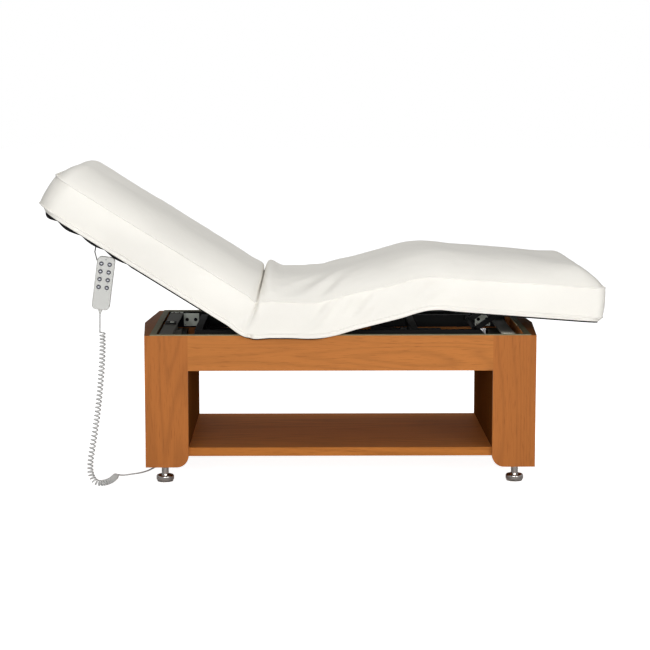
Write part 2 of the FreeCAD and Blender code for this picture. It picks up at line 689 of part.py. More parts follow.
def lengthwise_form(seam, crown, shoulder_z, bend_z):
    """The mattress's outline seen from the side, extruded across the bed."""
    y0 = -HALF_WIDTH - OVERRUN
    bend = SHOULDER_DEPTH * (1 - SHOULDER_SHARE) * 4
    def at(x, z):
        return Vector(x, y0, z)
    head, foot = HEAD_END + SIDE_BULGE, FOOT_END - SIDE_BULGE
    mid_z = (PAD_BOTTOM + seam) / 2
    edges = [
        Part.LineSegment(at(head, PAD_BOTTOM), at(foot, PAD_BOTTOM)).toShape(),
        Part.Arc(at(foot, PAD_BOTTOM), at(FOOT_END, mid_z), at(foot, seam)).toShape(),
        Part.Arc(
            at(foot, seam), at(foot - bend, bend_z), at(foot - SHOULDER_DEPTH, shoulder_z)
        ).toShape(),
        Part.Arc(
            at(foot - SHOULDER_DEPTH, shoulder_z),
            at((head + foot) / 2, crown + SIDE_BULGE),
            at(head + SHOULDER_DEPTH, shoulder_z),
        ).toShape(),
        Part.Arc(
            at(head + SHOULDER_DEPTH, shoulder_z), at(head + bend, bend_z), at(head, seam)
        ).toShape(),
        Part.Arc(at(head, seam), at(HEAD_END, mid_z), at(head, PAD_BOTTOM)).toShape(),
    ]
    return Part.Face(Part.Wire(edges)).extrude(Vector(0, MATTRESS_WIDTH + 2 * OVERRUN, 0))


def make_sections():
    y_half = HALF_WIDTH + OVERRUN
    back_lean = BACK_MAX_ANGLE / 2 + FOLD_MARGIN_ANGLE
    lap_lean = THIGH_MAX_ANGLE / 2 + FOLD_MARGIN_ANGLE
    back_crease = BACK_REST_ANGLE / 2
    lap_crease = THIGH_REST_ANGLE / 2
    knee_open = CALF_REST_ANGLE / 2
    mattress = crowned_pad()
    far_head, far_foot = HEAD_END - OVERRUN, FOOT_END + OVERRUN
    cuts = {
        "back": (far_head, 0, BACK_HINGE_X - FIT, -back_lean),
        "seat": (BACK_HINGE_X + FIT, back_lean, THIGH_HINGE_X - FIT, -lap_lean),
        "thigh": (THIGH_HINGE_X + FIT, lap_lean, KNEE_X - FIT, 0),
        "calf": (KNEE_X + FIT, 0, far_foot, 0),
    }
    spans = {
        "back": (far_head, BACK_HINGE_X - BOARD_GAP),
        "seat": (BACK_HINGE_X + BOARD_GAP, THIGH_HINGE_X - BOARD_GAP),
        "thigh": (THIGH_HINGE_X + BOARD_GAP, KNEE_X - BOARD_GAP),
        "calf": (KNEE_X + BOARD_GAP, far_foot),
    }
    board_top = PAD_BOTTOM - FIT
    board = plan_outline(BOARD_INSET, BOARD_CORNER, BOARD_LEVEL, board_top)
    low = BOARD_LEVEL - BORDER_DROP
    ring = plan_outline(0, PLAN_CORNER, low, board_top)
    inner_corner = PLAN_CORNER - BORDER_THICKNESS
    hollow = plan_outline(BORDER_THICKNESS, inner_corner, low - OVERRUN, board_top + OVERRUN)
    ring = ring.cut(hollow)
    for section, (x0, x1) in spans.items():
        pad = mattress.common(between(*cuts[section], y_half))
        lift = 0 if section == "seat" else SECTION_LIFT
        clip = block(x0, x1, -y_half, y_half, BOARD_LEVEL + lift, board_top)
        border = ring.common(block(x0, x1, -y_half, y_half, low - OVERRUN, board_top + OVERRUN))
        place = section_place(section)
        keep(section + "_pad", place(pad))
        keep(section + "_board", place(board.common(clip)))
        keep(section + "_border", place(border))
    gap = FIT / 2
    folds = (
        ("back_fold", "seat", BACK_HINGE_X + FIT, back_crease + gap, back_lean),
        ("back_fold", "back", BACK_HINGE_X - FIT, -back_lean, -back_crease - gap),
        ("lap_fold", "seat", THIGH_HINGE_X - FIT, -lap_lean, -lap_crease - gap),
        ("lap_fold", "thigh", THIGH_HINGE_X + FIT, lap_crease + gap, lap_lean),
        ("knee_fold", "thigh", KNEE_X - FIT, 0, knee_open - gap),
        ("knee_fold", "calf", KNEE_X + FIT, -knee_open + gap, 0),
    )
    for name, section, x, lean0, lean1 in folds:
        piece = mattress.common(wedge(x, lean0, lean1, y_half))
        keep(name, section_place(section)(piece))


def section_place(section):
    """What moves a shape drawn flat to where its section is at rest."""

    def back(shape):
        return turned(shape, BACK_HINGE_X, HINGE_Z, BACK_REST_ANGLE)

    def thigh(shape):
        return turned(shape, THIGH_HINGE_X, HINGE_Z, -THIGH_REST_ANGLE)

    def calf(shape):
        return thigh(turned(shape, KNEE_X, HINGE_Z, CALF_REST_ANGLE))

    def seat(shape):
        return shape

    return {"back": back, "seat": seat, "thigh": thigh, "calf": calf}[section]


def make_section_frames():
    y = RAIL_INNER + LUG_THICKNESS + 2 * FIT
    y_calf = y + LUG_THICKNESS + FIT
    back_end = BACK_HINGE_X - BOARD_GAP
    back = section_bars(back_end - BACK_BAR_LENGTH, back_end, [(BACK_HINGE_X, y)])
    thigh_start = THIGH_HINGE_X + BOARD_GAP
    thigh_end = KNEE_X - BOARD_GAP
    thigh = section_bars(thigh_start, thigh_end, [(THIGH_HINGE_X, y), (KNEE_X, y)])
    calf_start = KNEE_X + BOARD_GAP
    calf = section_bars(calf_start, calf_start + CALF_BAR_LENGTH, [(KNEE_X, y_calf)])
    bar_top = BOARD_LEVEL + SECTION_LIFT
    bar_bottom = bar_top - SECTION_BAR
    for section, bars, hinge_x, length, swing, rod_y, tie_x in (
        ("back", back, BACK_HINGE_X, BACK_LEVER, BACK_MAX_ANGLE / 2, BACK_ROD_Y, back_end),
        ("thigh", thigh, THIGH_HINGE_X, LEG_LEVER, -THIGH_MAX_ANGLE / 2, LEG_ROD_Y, thigh_start),
    ):
        plates, roller = lever_parts((hinge_x, HINGE_Z), length, -swing, rod_y)
        side = -1 if section == "back" else 1
        x0, x1 = sorted((tie_x, tie_x + side * SECTION_BAR_WIDTH))
        tie = block(x0, x1, -y, y, bar_bottom, bar_top)
        x2, x3, z2 = hinge_x - LEVER_WIDTH, hinge_x + LEVER_WIDTH, BOARD_LEVEL - FIT
        trim = block(x2, x3, -y, y, z2, z2 + LEVER_WIDTH)
        plates = [p.cut(trim) for p in plates]
        arms = []
        for plate in plates:
            box = plate.BoundBox
            a, b = sorted((hinge_x, tie_x))
            arms.append(block(a, b, box.YMin, box.YMax, bar_bottom, bar_top))
        place = section_place(section)
        keep(section + "_frame", place(joined(bars + [tie] + plates + arms)))
        keep(section + "_frame", place(roller))
    tie = block(
        calf_start + CALF_BAR_LENGTH - SECTION_BAR_WIDTH,
        calf_start + CALF_BAR_LENGTH,
        -y_calf,
        y_calf,
        bar_bottom,
        bar_top,
    )
    keep("calf_frame", section_place("calf")(joined(calf + [tie])))
    outer = y + LUG_THICKNESS
    for name, x, y0, y1 in (
        ("bed_frame_pins", BACK_HINGE_X, RAIL_INNER, outer),
        ("bed_frame_pins", THIGH_HINGE_X, RAIL_INNER, outer),
        ("thigh_frame", KNEE_X, y, y_calf + LUG_THICKNESS),
    ):
        pins = both_sides(round_bar(x, HINGE_Z, -y1, -y0, HINGE_PIN_RADIUS))
        section = "thigh" if x == KNEE_X else "seat"
        keep(name, *[section_place(section)(pin) for pin in pins])


def make_actuators():
    back_z, leg_z = rod_height(2), rod_height(3)
    swing = math.radians(BACK_MAX_ANGLE / 2)
    yoke_x = BACK_HINGE_X - BACK_LEVER * math.sin(math.radians(BACK_REST_ANGLE - BACK_MAX_ANGLE / 2))
    reach = BACK_LEVER * (1 - math.cos(swing)) / 2 + FIT
    mouth = BACK_HINGE_X + BACK_LEVER * math.sin(swing) + ROLLER_RADIUS * 3 + YOKE_WALL
    rear = THIGH_HINGE_X + LEG_LEVER - CROSS_WIDTH / 2
    housing = actuator_housing(mouth, rear, back_z, BACK_ROD_Y, 1)
    keep("back_actuator", housing)
    rod_length = rear - GEAR_CASE - BACK_LEVER - yoke_x
    keep("back_rod", rod_and_yoke(yoke_x, back_z, BACK_ROD_Y, reach, (0, rod_length)))
    swing = math.radians(THIGH_MAX_ANGLE / 2)
    yoke_x = THIGH_HINGE_X + LEG_LEVER * math.sin(math.radians(THIGH_REST_ANGLE - THIGH_MAX_ANGLE / 2))
    reach = LEG_LEVER * (1 - math.cos(swing)) / 2 + FIT
    mouth, rear = LEG_ACTUATOR_MOUTH_X, LEG_ACTUATOR_REAR_X
    keep("leg_actuator", actuator_housing(mouth, rear, leg_z, LEG_ROD_Y, -1))
    rod_length = rear - GEAR_CASE - LEG_LEVER - yoke_x
    keep("leg_rod", rod_and_yoke(yoke_x, leg_z, LEG_ROD_Y, reach, (0, rod_length)))
    half = math.radians(ARM_RISE_ANGLE / 2)
    yoke_x = ARM_PIVOT_X - LIFT_LEVER * math.sin(half)
    lift_z = ARM_PIVOT_Z + LIFT_LEVER * (1 + math.cos(half)) / 2
    reach = LIFT_LEVER * (1 - math.cos(half)) / 2 + FIT
    mouth = yoke_x - ROLLER_RADIUS * 3 - YOKE_WALL
    rear = mouth - LIFT_ACTUATOR_LENGTH
    keep("lift_actuator", actuator_housing(mouth, rear, lift_z, LIFT_ROD_Y, 1))
    rod_length = yoke_x - rear - GEAR_CASE - LIFT_LEVER
    keep("lift_rod", rod_and_yoke(yoke_x, lift_z, LIFT_ROD_Y, reach, (-rod_length, 0)))
    y0, y1 = LIFT_ROD_Y - HOUSING_RADIUS, LIFT_ROD_Y + HOUSING_RADIUS
    stand = block(rear - CHANNEL_WALL, rear, y0, y1, TRAY_TOP, lift_z + HOUSING_RADIUS)
    sole = block(rear - CHANNEL_WIDTH, rear, y0, y1, TRAY_TOP, TRAY_TOP + CHANNEL_WALL)
    keep("lift_actuator", joined([stand, sole]))


def prop_contact(thigh_degrees):
    """The calf prop's angle above level where its roller meets the calf board."""
    pivot = (THIGH_HINGE_X, HINGE_Z)
    knee = turned_point((KNEE_X, HINGE_Z), pivot, -thigh_degrees)
    calf = math.radians(thigh_degrees * (1 - CALF_RATIO))
    under = HINGE_Z - BOARD_LEVEL - SECTION_LIFT
    along = (math.cos(calf), math.sin(calf))
    up = (-math.sin(calf), math.cos(calf))
    dx, dz = PROP_PIVOT_X - knee[0], prop_pivot_z() - knee[1]
    below = -(dx * up[0] + dz * up[1]) - under
    lift = (below - PROP_ROLLER - FIT) / PROP_LENGTH
    return math.degrees(math.asin(min(1, lift))) + math.degrees(math.atan2(along[1], along[0]))


def make_calf_prop():
    angle = math.radians(prop_contact(THIGH_REST_ANGLE))
    pivot = (PROP_PIVOT_X, prop_pivot_z())
    tip = (pivot[0] + PROP_LENGTH * math.cos(angle), pivot[1] + PROP_LENGTH * math.sin(angle))
    y0, y1 = -PROP_Y - PROP_THICKNESS, -PROP_Y
    bar = link_bar(pivot, tip, PROP_BAR, y0, y1)
    eye = round_bar(pivot[0], pivot[1], y0, y1, PROP_SHAFT_RADIUS + PROP_THICKNESS / 2)
    bore = round_bar(pivot[0], pivot[1], y0 - OVERRUN, y1 + OVERRUN, PROP_SHAFT_RADIUS + RUNNING)
    bars = both_sides(joined([bar, eye]).cut(bore))
    mid = ((pivot[0] + tip[0]) / 2, (pivot[1] + tip[1]) / 2)
    tie = round_bar(mid[0], mid[1], y1, -y1, PROP_BAR / 3)
    axle = round_bar(tip[0], tip[1], y1, -y1, PROP_BAR / 3)
    keep("calf_prop", joined(bars + [tie, axle]))
    for side in (-1, 1):
        a, b = sorted((side * PROP_Y * 0.6, side * (PROP_Y * 0.6 + PROP_ROLLER_WIDTH)))
        roller = round_bar(tip[0], tip[1], a, b, PROP_ROLLER)
        keep("calf_prop", roller.cut(round_bar(tip[0], tip[1], a - OVERRUN, b + OVERRUN, PROP_BAR / 3)))

# Handset, which hangs on a wire hook under the back's front edge
HANDSET_ALONG_BACK = 482.7
HANDSET_DROP = 134.2
HANDSET_PROUD = 5.0
HANDSET_LEAN_ANGLE = 7.7
HANDSET_WIDTH = 59.0
HANDSET_HEIGHT = 178.0
HANDSET_DEPTH = 26.0
HANDSET_CORNER = 15.0
HANDSET_EDGE = 4.0
HANDSET_WALL = 2.5
HANDSET_SPLIT = 15.0
KEY_RADIUS = 7.3
KEY_GAP = 0.3
KEY_PROUD = 1.6
KEY_DEPTH = 6.0
KEY_COLUMN = 13.6
KEY_ROW = 26.0
KEY_TOP = 65.0
KEY_TRAVEL = 1.0
BOARD_CLEAR = 2.0
CIRCUIT_BOARD = 1.6
HOOK_RADIUS = 2.0
HOOK_LOOP = 14.0
HOOK_SPREAD = 22.0
RELIEF_LENGTH = 14.0
RELIEF_RADIUS = 7.5
RELIEF_SHARE = 0.45
CORD_RADIUS = 2.75
CURL_RADIUS = 11.0
KEY_NAMES = ("head", "back", "leg", "level")
HANDSET_X = BACK_HINGE_X - HANDSET_ALONG_BACK
BACK_SLOPE = math.tan(math.radians(BACK_REST_ANGLE))
HANDSET_Z = HINGE_Z + HANDSET_ALONG_BACK * BACK_SLOPE - HANDSET_DROP
HANDSET_FACE = -HALF_WIDTH - HANDSET_PROUD


def on_handset(shape):
    """Lean and move a shape drawn about the handset's centre, with its face at y = 0."""
    copy = shape.copy()
    copy.rotate(Vector(0, 0, 0), Vector(0, 1, 0), HANDSET_LEAN_ANGLE)
    copy.translate(Vector(HANDSET_X, HANDSET_FACE, HANDSET_Z))
    return copy


def handset_block(inset, y0, y1):
    """The handset's round-cornered outline, inset all round, from y0 to y1."""
    w, h = HANDSET_WIDTH / 2 - inset, HANDSET_HEIGHT / 2 - inset
    body = block(-w, w, y0, y1, -h, h)
    corners = [e for e in body.Edges if abs(e.Vertexes[0].Y - e.Vertexes[1].Y) > (y1 - y0) / 2]
    return body.makeFillet(HANDSET_CORNER - inset, corners)


def make_handset():
    outer = handset_block(0, 0, HANDSET_DEPTH)
    rims = [e for e in outer.Edges if abs(e.Vertexes[0].Y - e.Vertexes[-1].Y) < FIT]
    outer = outer.makeFillet(HANDSET_EDGE, rims)
    inside = handset_block(HANDSET_WALL, HANDSET_WALL, HANDSET_DEPTH - HANDSET_WALL)
    shell = outer.cut(inside)
    big = HANDSET_HEIGHT
    front = shell.common(block(-big, big, -OVERRUN, HANDSET_SPLIT, -big, big))
    rear = shell.common(block(-big, big, HANDSET_SPLIT, HANDSET_DEPTH + OVERRUN, -big, big))
    board_y = KEY_DEPTH - KEY_PROUD + KEY_TRAVEL + FIT
    board = handset_block(HANDSET_WALL + FIT, board_y, board_y + CIRCUIT_BOARD)
    for row, name in enumerate(KEY_NAMES):
        z = KEY_TOP - row * KEY_ROW
        for side, way in ((-1, "up"), (1, "down")):
            x = side * KEY_COLUMN
            hole = round_bar(x, z, -OVERRUN, HANDSET_WALL + OVERRUN, KEY_RADIUS + KEY_GAP)
            front = front.cut(hole)
            key = round_bar(x, z, -KEY_PROUD, KEY_DEPTH - KEY_PROUD, KEY_RADIUS)
            rim = [e for e in key.Edges if abs(e.CenterOfMass.y + KEY_PROUD) < FIT and e.Closed]
            key = key.makeFillet(KEY_PROUD / 2, rim)
            keep("key_" + name + "_" + way, on_handset(key))
    keep("handset_front_shell", on_handset(front))
    keep("handset_rear_shell", on_handset(rear))
    keep("handset_rear_shell", on_handset(board))
    foot = -HANDSET_HEIGHT / 2
    mid_y = HANDSET_DEPTH / 2
    down = Vector(0, 0, -1)
    collar = RELIEF_LENGTH * RELIEF_SHARE
    neck = CORD_RADIUS + HANDSET_EDGE / 2
    upper = Part.makeCone(RELIEF_RADIUS, neck + HANDSET_EDGE / 4, collar, Vector(0, mid_y, foot), down)
    lower = Part.makeCone(
        neck, CORD_RADIUS + HANDSET_EDGE / 4, RELIEF_LENGTH - collar, Vector(0, mid_y, foot - collar), down
    )
    keep("handset_rear_shell", on_handset(joined([upper, lower])))


def wire_through(points, radius):
    """A bent wire: straight runs with a ball at each bend."""
    pieces = []
    for a, b in zip(points, points[1:]):
        run = b - a
        pieces.append(Part.makeCylinder(radius, run.Length, a, run))
    for p in points[1:-1]:
        pieces.append(Part.makeSphere(radius, p))
    return joined(pieces)


def make_hook():
    """The wire bail that the handset hangs on, from the underside of the back's board."""
    y = HANDSET_FACE + HANDSET_DEPTH + HOOK_RADIUS + FIT
    top = HANDSET_Z + HANDSET_HEIGHT / 2

    def underside(x):
        level = BOARD_LEVEL + SECTION_LIFT - HINGE_Z
        rise = (BACK_HINGE_X - x) * BACK_SLOPE
        return HINGE_Z + rise + level / math.cos(math.radians(BACK_REST_ANGLE)) - FIT

    left = HANDSET_X - HOOK_SPREAD
    right = HANDSET_X + HOOK_SPREAD
    points = [
        Vector(left, y + HOOK_LOOP, underside(left) - HOOK_RADIUS),
        Vector(left - HOOK_LOOP / 2, y, top + HOOK_LOOP),
        Vector(left, y, top - HOOK_LOOP),
        Vector(right, y, top - HOOK_LOOP),
        Vector(right + HOOK_LOOP / 2, y, top - HOOK_RADIUS),
        Vector(right + HOOK_LOOP / 2, y + HOOK_LOOP, underside(right + HOOK_LOOP) - HOOK_RADIUS),
    ]
    keep("handset_hook", wire_through(points, HOOK_RADIUS))


# The handset's cord: a straight lead, the curly part, then a cable on the floor.
# Each route's X is measured from the cabinet's head end.
LEAD_ROUTE = [(-144, -372, 588.2), (-143.2, -372, 553), (-136.5, -372, 527)]
CURLY_ROUTE = [
    (-136.5, -372, 527),
    (-136, -372, 480),
    (-139, -373, 425),
    (-144, -374, 366),
    (-150, -374, 308),
    (-157, -375, 250),
    (-165.5, -376, 192),
    (-175, -377, 138),
    (-183.5, -379, 88),
    (-182.5, -381, 52),
    (-165, -378, 24),
    (-139.5, -360, 13.5),
    (-122.5, -325, 12.5),
    (-114.5, -283, 12.5),
    (-110.5, -240, 12.5),
]
FLOOR_ROUTE = [
    (-110.5, -240, 12.5),
    (-108.7, -221, 12.5),
    (-103.5, -205, 7),
    (-88.5, -190, 3),
    (-64.5, -172, 3),
    (-36.5, -152, 3),
    (-13.5, -118, 3),
    (2.5, -70, 3),
    (17.5, -22, 3),
    (38.5, 14, 4),
    (57.5, 30, 16),
    (65.5, 34, 38),
    (65.5, 34, 56),
]
GLAND_LENGTH = 10.0
GLAND_RADIUS = 9.0


def rounded_path(route):
    """A wire of straight runs joined by tangent arcs, with its smallest radius and length."""
    points = [Vector(x - HALF_LENGTH, y, z) for x, y, z in route]
    edges, least, start = [], math.inf, points[0]
    for before, here, after in zip(points, points[1:], points[2:]):
        a, b = before - here, after - here
        turn = math.pi - a.getAngle(b)
        shorter = min(a.Length, b.Length)
        back = 0.45 * shorter
        radius = back / math.tan(turn / 2)
        least = min(least, radius)
        a.normalize()
        b.normalize()
        first, last = here + a * back, here + b * back
        middle = a + b
        middle.normalize()
        depth = radius / math.cos(turn / 2) - radius
        edges.append(Part.LineSegment(start, first).toShape())
        edges.append(Part.Arc(first, here + middle * depth, last).toShape())
        start = last
    edges.append(Part.LineSegment(start, points[-1]).toShape())
    return Part.Wire(edges), least


def cord_tube(name, route, radius):
    """A plain tube along a route, kept as a node of the cord."""
    path, least = rounded_path(route)
    start = path.Edges[0].Vertexes[0].Point
    run = path.Edges[0].tangentAt(path.Edges[0].FirstParameter)
    circle = Part.Wire([Part.Circle(start, run, radius).toShape()])
    tube = path.makePipeShell([circle], True, False, 2)
    expected = math.pi * radius**2 * path.Length
    print(name, "length", round(path.Length, 1), "least radius", round(least, 1))
    print(name, "volume share", round(tube.Volume / expected, 4), tube.isValid())
    keep(name, tube)
    if name not in cord_nodes:
        cord_nodes.append(name)


def make_cord():
    cord_tube("curly_cord", LEAD_ROUTE, CORD_RADIUS)
    cord_tube("curly_cord", CURLY_ROUTE, CURL_RADIUS)
    cord_tube("floor_cable", FLOOR_ROUTE, CORD_RADIUS)
    x, y, z = FLOOR_ROUTE[-1]
    x -= HALF_LENGTH
    gland = post(x, y, z, CABINET_BOTTOM + LEG_FLOOR + GLAND_LENGTH, GLAND_RADIUS)
    bore = post(x, y, 0, CABINET_TOP, GLAND_RADIUS + RUNNING)
    panels = nodes["leg_floor_panels"]
    nodes["leg_floor_panels"] = [p for panel in panels for p in panel.cut(bore).Solids]
    keep("leg_floor_panels", gland)


# Power supply and control box on the tray floor
CONTROL_BOX = (150.0, 110.0, 38.0)
CONTROL_BOX_SET = 200.0
CONTROL_BOX_Y = -120.0
CLAMP_BLOCK = (40.0, 44.0, 34.0)
CLAMP_Y = 44.0
CLAMP_BOLT_RADIUS = 9.0
CLAMP_BOLT_LENGTH = 12.0


def make_control_box():
    length, width, height = CONTROL_BOX
    x0 = CHANNEL_INNER - CONTROL_BOX_SET - length / 2
    y0 = CONTROL_BOX_Y - width / 2
    box = block(x0, x0 + length, y0, y0 + width, TRAY_TOP, TRAY_TOP + height)
    box = box.makeFillet(height / 8, box.Edges)
    keep("control_box", box)
    length, width, height = CLAMP_BLOCK
    clamp_x = -(CHANNEL_INNER + CHANNEL_OUTER) / 2
    x0, y0 = clamp_x - length / 2, CLAMP_Y - width / 2
    keep("cross_channels", block(x0, x0 + length, y0, y0 + width, CHANNEL_TOP, CHANNEL_TOP + height))
    z = CHANNEL_TOP + height
    keep("cross_channels", post(clamp_x, CLAMP_Y, z, z + CLAMP_BOLT_LENGTH, CLAMP_BOLT_RADIUS))


def finish():
    """Move the model so that its origin is under the middle of its box, and write it."""
    firm = [s for name, solids in nodes.items() if name not in cord_nodes for s in solids]
    box = Part.makeCompound(firm).BoundBox
    shift = Vector(-(box.XMin + box.XMax) / 2, -(box.YMin + box.YMax) / 2, -box.ZMin)
    os.makedirs("parts", exist_ok=True)
    for name, solids in nodes.items():
        moved = []
        for solid in solids:
            copy = solid.copy()
            copy.translate(shift)
            moved.append(copy)
        shape = moved[0] if len(moved) == 1 else Part.makeCompound(moved)
        shape.exportStep("parts/" + name + ".step")
    print("nodes", len(nodes), "shift", shift, "size", box.XLength, box.YLength, box.ZLength)
    return shift


make_cabinet()
make_rim_and_rails()
make_channels()
make_feet()
head_arms = arm_pair(ARM_PIVOT_X - ARM_SPACING, False)
keep("head_lift_arms", head_arms)
keep("foot_lift_arms", arm_pair(ARM_PIVOT_X, True))
make_bed_frame()
make_sections()
make_section_frames()
make_actuators()
make_calf_prop()
make_handset()
make_hook()
make_control_box()
make_cord()
SHIFT = finish()
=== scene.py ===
"""Looks of a spa bed: a white hinged mattress on a lift inside an open wooden cabinet."""

import math

import bmesh
import bpy
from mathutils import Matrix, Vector, noise
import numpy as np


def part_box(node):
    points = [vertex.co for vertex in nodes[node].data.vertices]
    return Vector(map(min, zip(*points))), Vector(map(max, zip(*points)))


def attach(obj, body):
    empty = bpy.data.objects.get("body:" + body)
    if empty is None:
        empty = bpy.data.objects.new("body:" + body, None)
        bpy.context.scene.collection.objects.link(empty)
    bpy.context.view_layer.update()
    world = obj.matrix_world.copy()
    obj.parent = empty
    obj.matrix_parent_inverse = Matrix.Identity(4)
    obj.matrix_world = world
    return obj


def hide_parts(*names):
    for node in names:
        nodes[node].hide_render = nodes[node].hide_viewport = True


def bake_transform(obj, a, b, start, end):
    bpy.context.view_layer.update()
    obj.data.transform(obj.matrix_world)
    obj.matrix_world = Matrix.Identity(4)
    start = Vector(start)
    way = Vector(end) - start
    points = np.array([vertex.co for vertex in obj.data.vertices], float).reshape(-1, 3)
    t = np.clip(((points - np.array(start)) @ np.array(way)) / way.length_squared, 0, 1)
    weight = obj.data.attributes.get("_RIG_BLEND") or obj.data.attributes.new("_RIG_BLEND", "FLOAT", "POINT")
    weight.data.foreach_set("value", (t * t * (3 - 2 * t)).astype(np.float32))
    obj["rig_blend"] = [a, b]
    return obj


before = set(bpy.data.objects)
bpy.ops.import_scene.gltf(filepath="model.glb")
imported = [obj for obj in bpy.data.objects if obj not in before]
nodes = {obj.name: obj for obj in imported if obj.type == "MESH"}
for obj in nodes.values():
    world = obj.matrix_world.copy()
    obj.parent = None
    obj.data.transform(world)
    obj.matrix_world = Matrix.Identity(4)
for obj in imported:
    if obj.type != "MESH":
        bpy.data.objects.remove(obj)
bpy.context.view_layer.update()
MM = 0.001


def middle(node):
    """The centre of a node's box, in metres."""
    low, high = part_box(node)
    return [(a + b) / 2 for a, b in zip(low, high)]


# Where the source's own origin sits in the part's frame
SHIFT_X, SHIFT_Y = middle("aprons")[:2]


def place(x, y, z):
    """A point given in the source's millimetres, in metres in the part's frame."""
    return Vector((SHIFT_X + x * MM, SHIFT_Y + y * MM, z * MM))


def eased(share):
    """A share held between zero and one, with a soft start and end."""
    share = max(0.0, min(1.0, share))
    return share * share * (3 - 2 * share)


class Socket:
    """A shader value that can be added, subtracted and multiplied in plain Python."""

    def __init__(self, shader, output):
        self.shader = shader
        self.output = output

    def _math(self, operation, a, b=0.0):
        return self.shader.add("ShaderNodeMath", {"operation": operation}, {0: a, 1: b})

    def __add__(self, other):
        return self._math("ADD", self, other)

    def __radd__(self, other):
        return self._math("ADD", other, self)

    def __sub__(self, other):
        return self._math("SUBTRACT", self, other)

    def __mul__(self, other):
        return self._math("MULTIPLY", self, other)

    def __rmul__(self, other):
        return self._math("MULTIPLY", other, self)

    def __pow__(self, other):
        return self._math("POWER", self, other)

    def sine(self):
        return self._math("SINE", self)


class Shader:
    """A material with one Principled shader, built from named settings and links."""

    def __init__(self, name, color=(0.8, 0.8, 0.8), roughness=0.5, metallic=0.0, **plain):
        self.material = bpy.data.materials.new(name)
        self.material.use_nodes = True
        self.tree = self.material.node_tree
        self.main = self.tree.nodes["Principled BSDF"]
        self.set(Base_Color=(*color, 1.0), Roughness=roughness, Metallic=metallic, **plain)

    def set(self, **values):
        for name, value in values.items():
            self.connect(self.main.inputs[name.replace("_", " ")], value)

    def connect(self, target, value):
        if isinstance(value, Socket):
            self.tree.links.new(value.output, target)
        else:
            target.default_value = value

    def add(self, kind, settings=None, values=None, output=0):
        """Any node: its settings first, then what goes into its sockets."""
        node = self.tree.nodes.new(kind)
        for name, value in (settings or {}).items():
            if name == "stops":
                ramp = node.color_ramp
                while len(ramp.elements) < len(value):
                    ramp.elements.new(0.5)
                for element, (position, color) in zip(ramp.elements, value):
                    element.position = position
                    element.color = (*color, 1.0)
            else:
                setattr(node, name, value)
        for name, value in (values or {}).items():
            self.connect(node.inputs[name], value)
        return Socket(self, node.outputs[output])

    def position(self, scale=(1.0, 1.0, 1.0), offset=(0.0, 0.0, 0.0)):
        """Object coordinates, scaled and moved."""
        coordinates = self.add("ShaderNodeTexCoord", output=3)
        values = {0: coordinates, "Location": offset, "Scale": scale}
        return self.add("ShaderNodeMapping", {}, values)

    def cloud(self, vector, scale=5.0, detail=2.0, roughness=0.5, distortion=0.0):
        """Soft noise from 0 to 1."""
        values = {
            "Vector": vector,
            "Scale": scale,
            "Detail": detail,
            "Roughness": roughness,
            "Distortion": distortion,
        }
        return self.add("ShaderNodeTexNoise", {}, values)

    def ramp(self, factor, stops):
        return self.add("ShaderNodeValToRGB", {"stops": stops}, {0: factor})

    def fade_in(self, factor, low, high):
        """Black up to one value and white from another on."""
        return self.ramp(factor, [(low, (0, 0, 0)), (high, (1, 1, 1))])

    def mix(self, factor, first, second, blend="MIX"):
        """A colour between two others."""
        values = {0: factor, 6: color4(first), 7: color4(second)}
        return self.add("ShaderNodeMix", {"data_type": "RGBA", "blend_type": blend}, values, 2)

    def bump(self, height, strength=0.3, distance=0.001, normal=None):
        values = {"Height": height, "Strength": strength, "Distance": distance}
        if normal is not None:
            values["Normal"] = normal
        return self.add("ShaderNodeBump", {}, values)


def color4(value):
    """A socket as it is, or a colour with its alpha."""
    return value if isinstance(value, Socket) else (*value, 1.0)


def tone(red, green, blue):
    """A colour read from a screen, 0 to 255, as linear light."""
    linear = []
    for part in (red, green, blue):
        part = part / 255
        linear.append(part / 12.92 if part <= 0.04045 else ((part + 0.055) / 1.055) ** 2.4)
    return tuple(linear)


def shaded(color, share):
    """A colour with its light taken down to a share, or up to white at most."""
    return tuple(min(1.0, c * share) for c in color)


def grain_scale(across, lengthways, along):
    """Texture scales that draw a pattern out along one axis."""
    scales = [across] * 3
    scales[along] = lengthways
    return scales


# Veneer: how often the growth rings repeat, how sharp they are, and where the patches start
RING_REPEAT = 88.0
RING_SHARPNESS = 2.2
PATCH_OFFSET = (3.1, 7.7, 1.9)
PALE_SHARE = 1.1


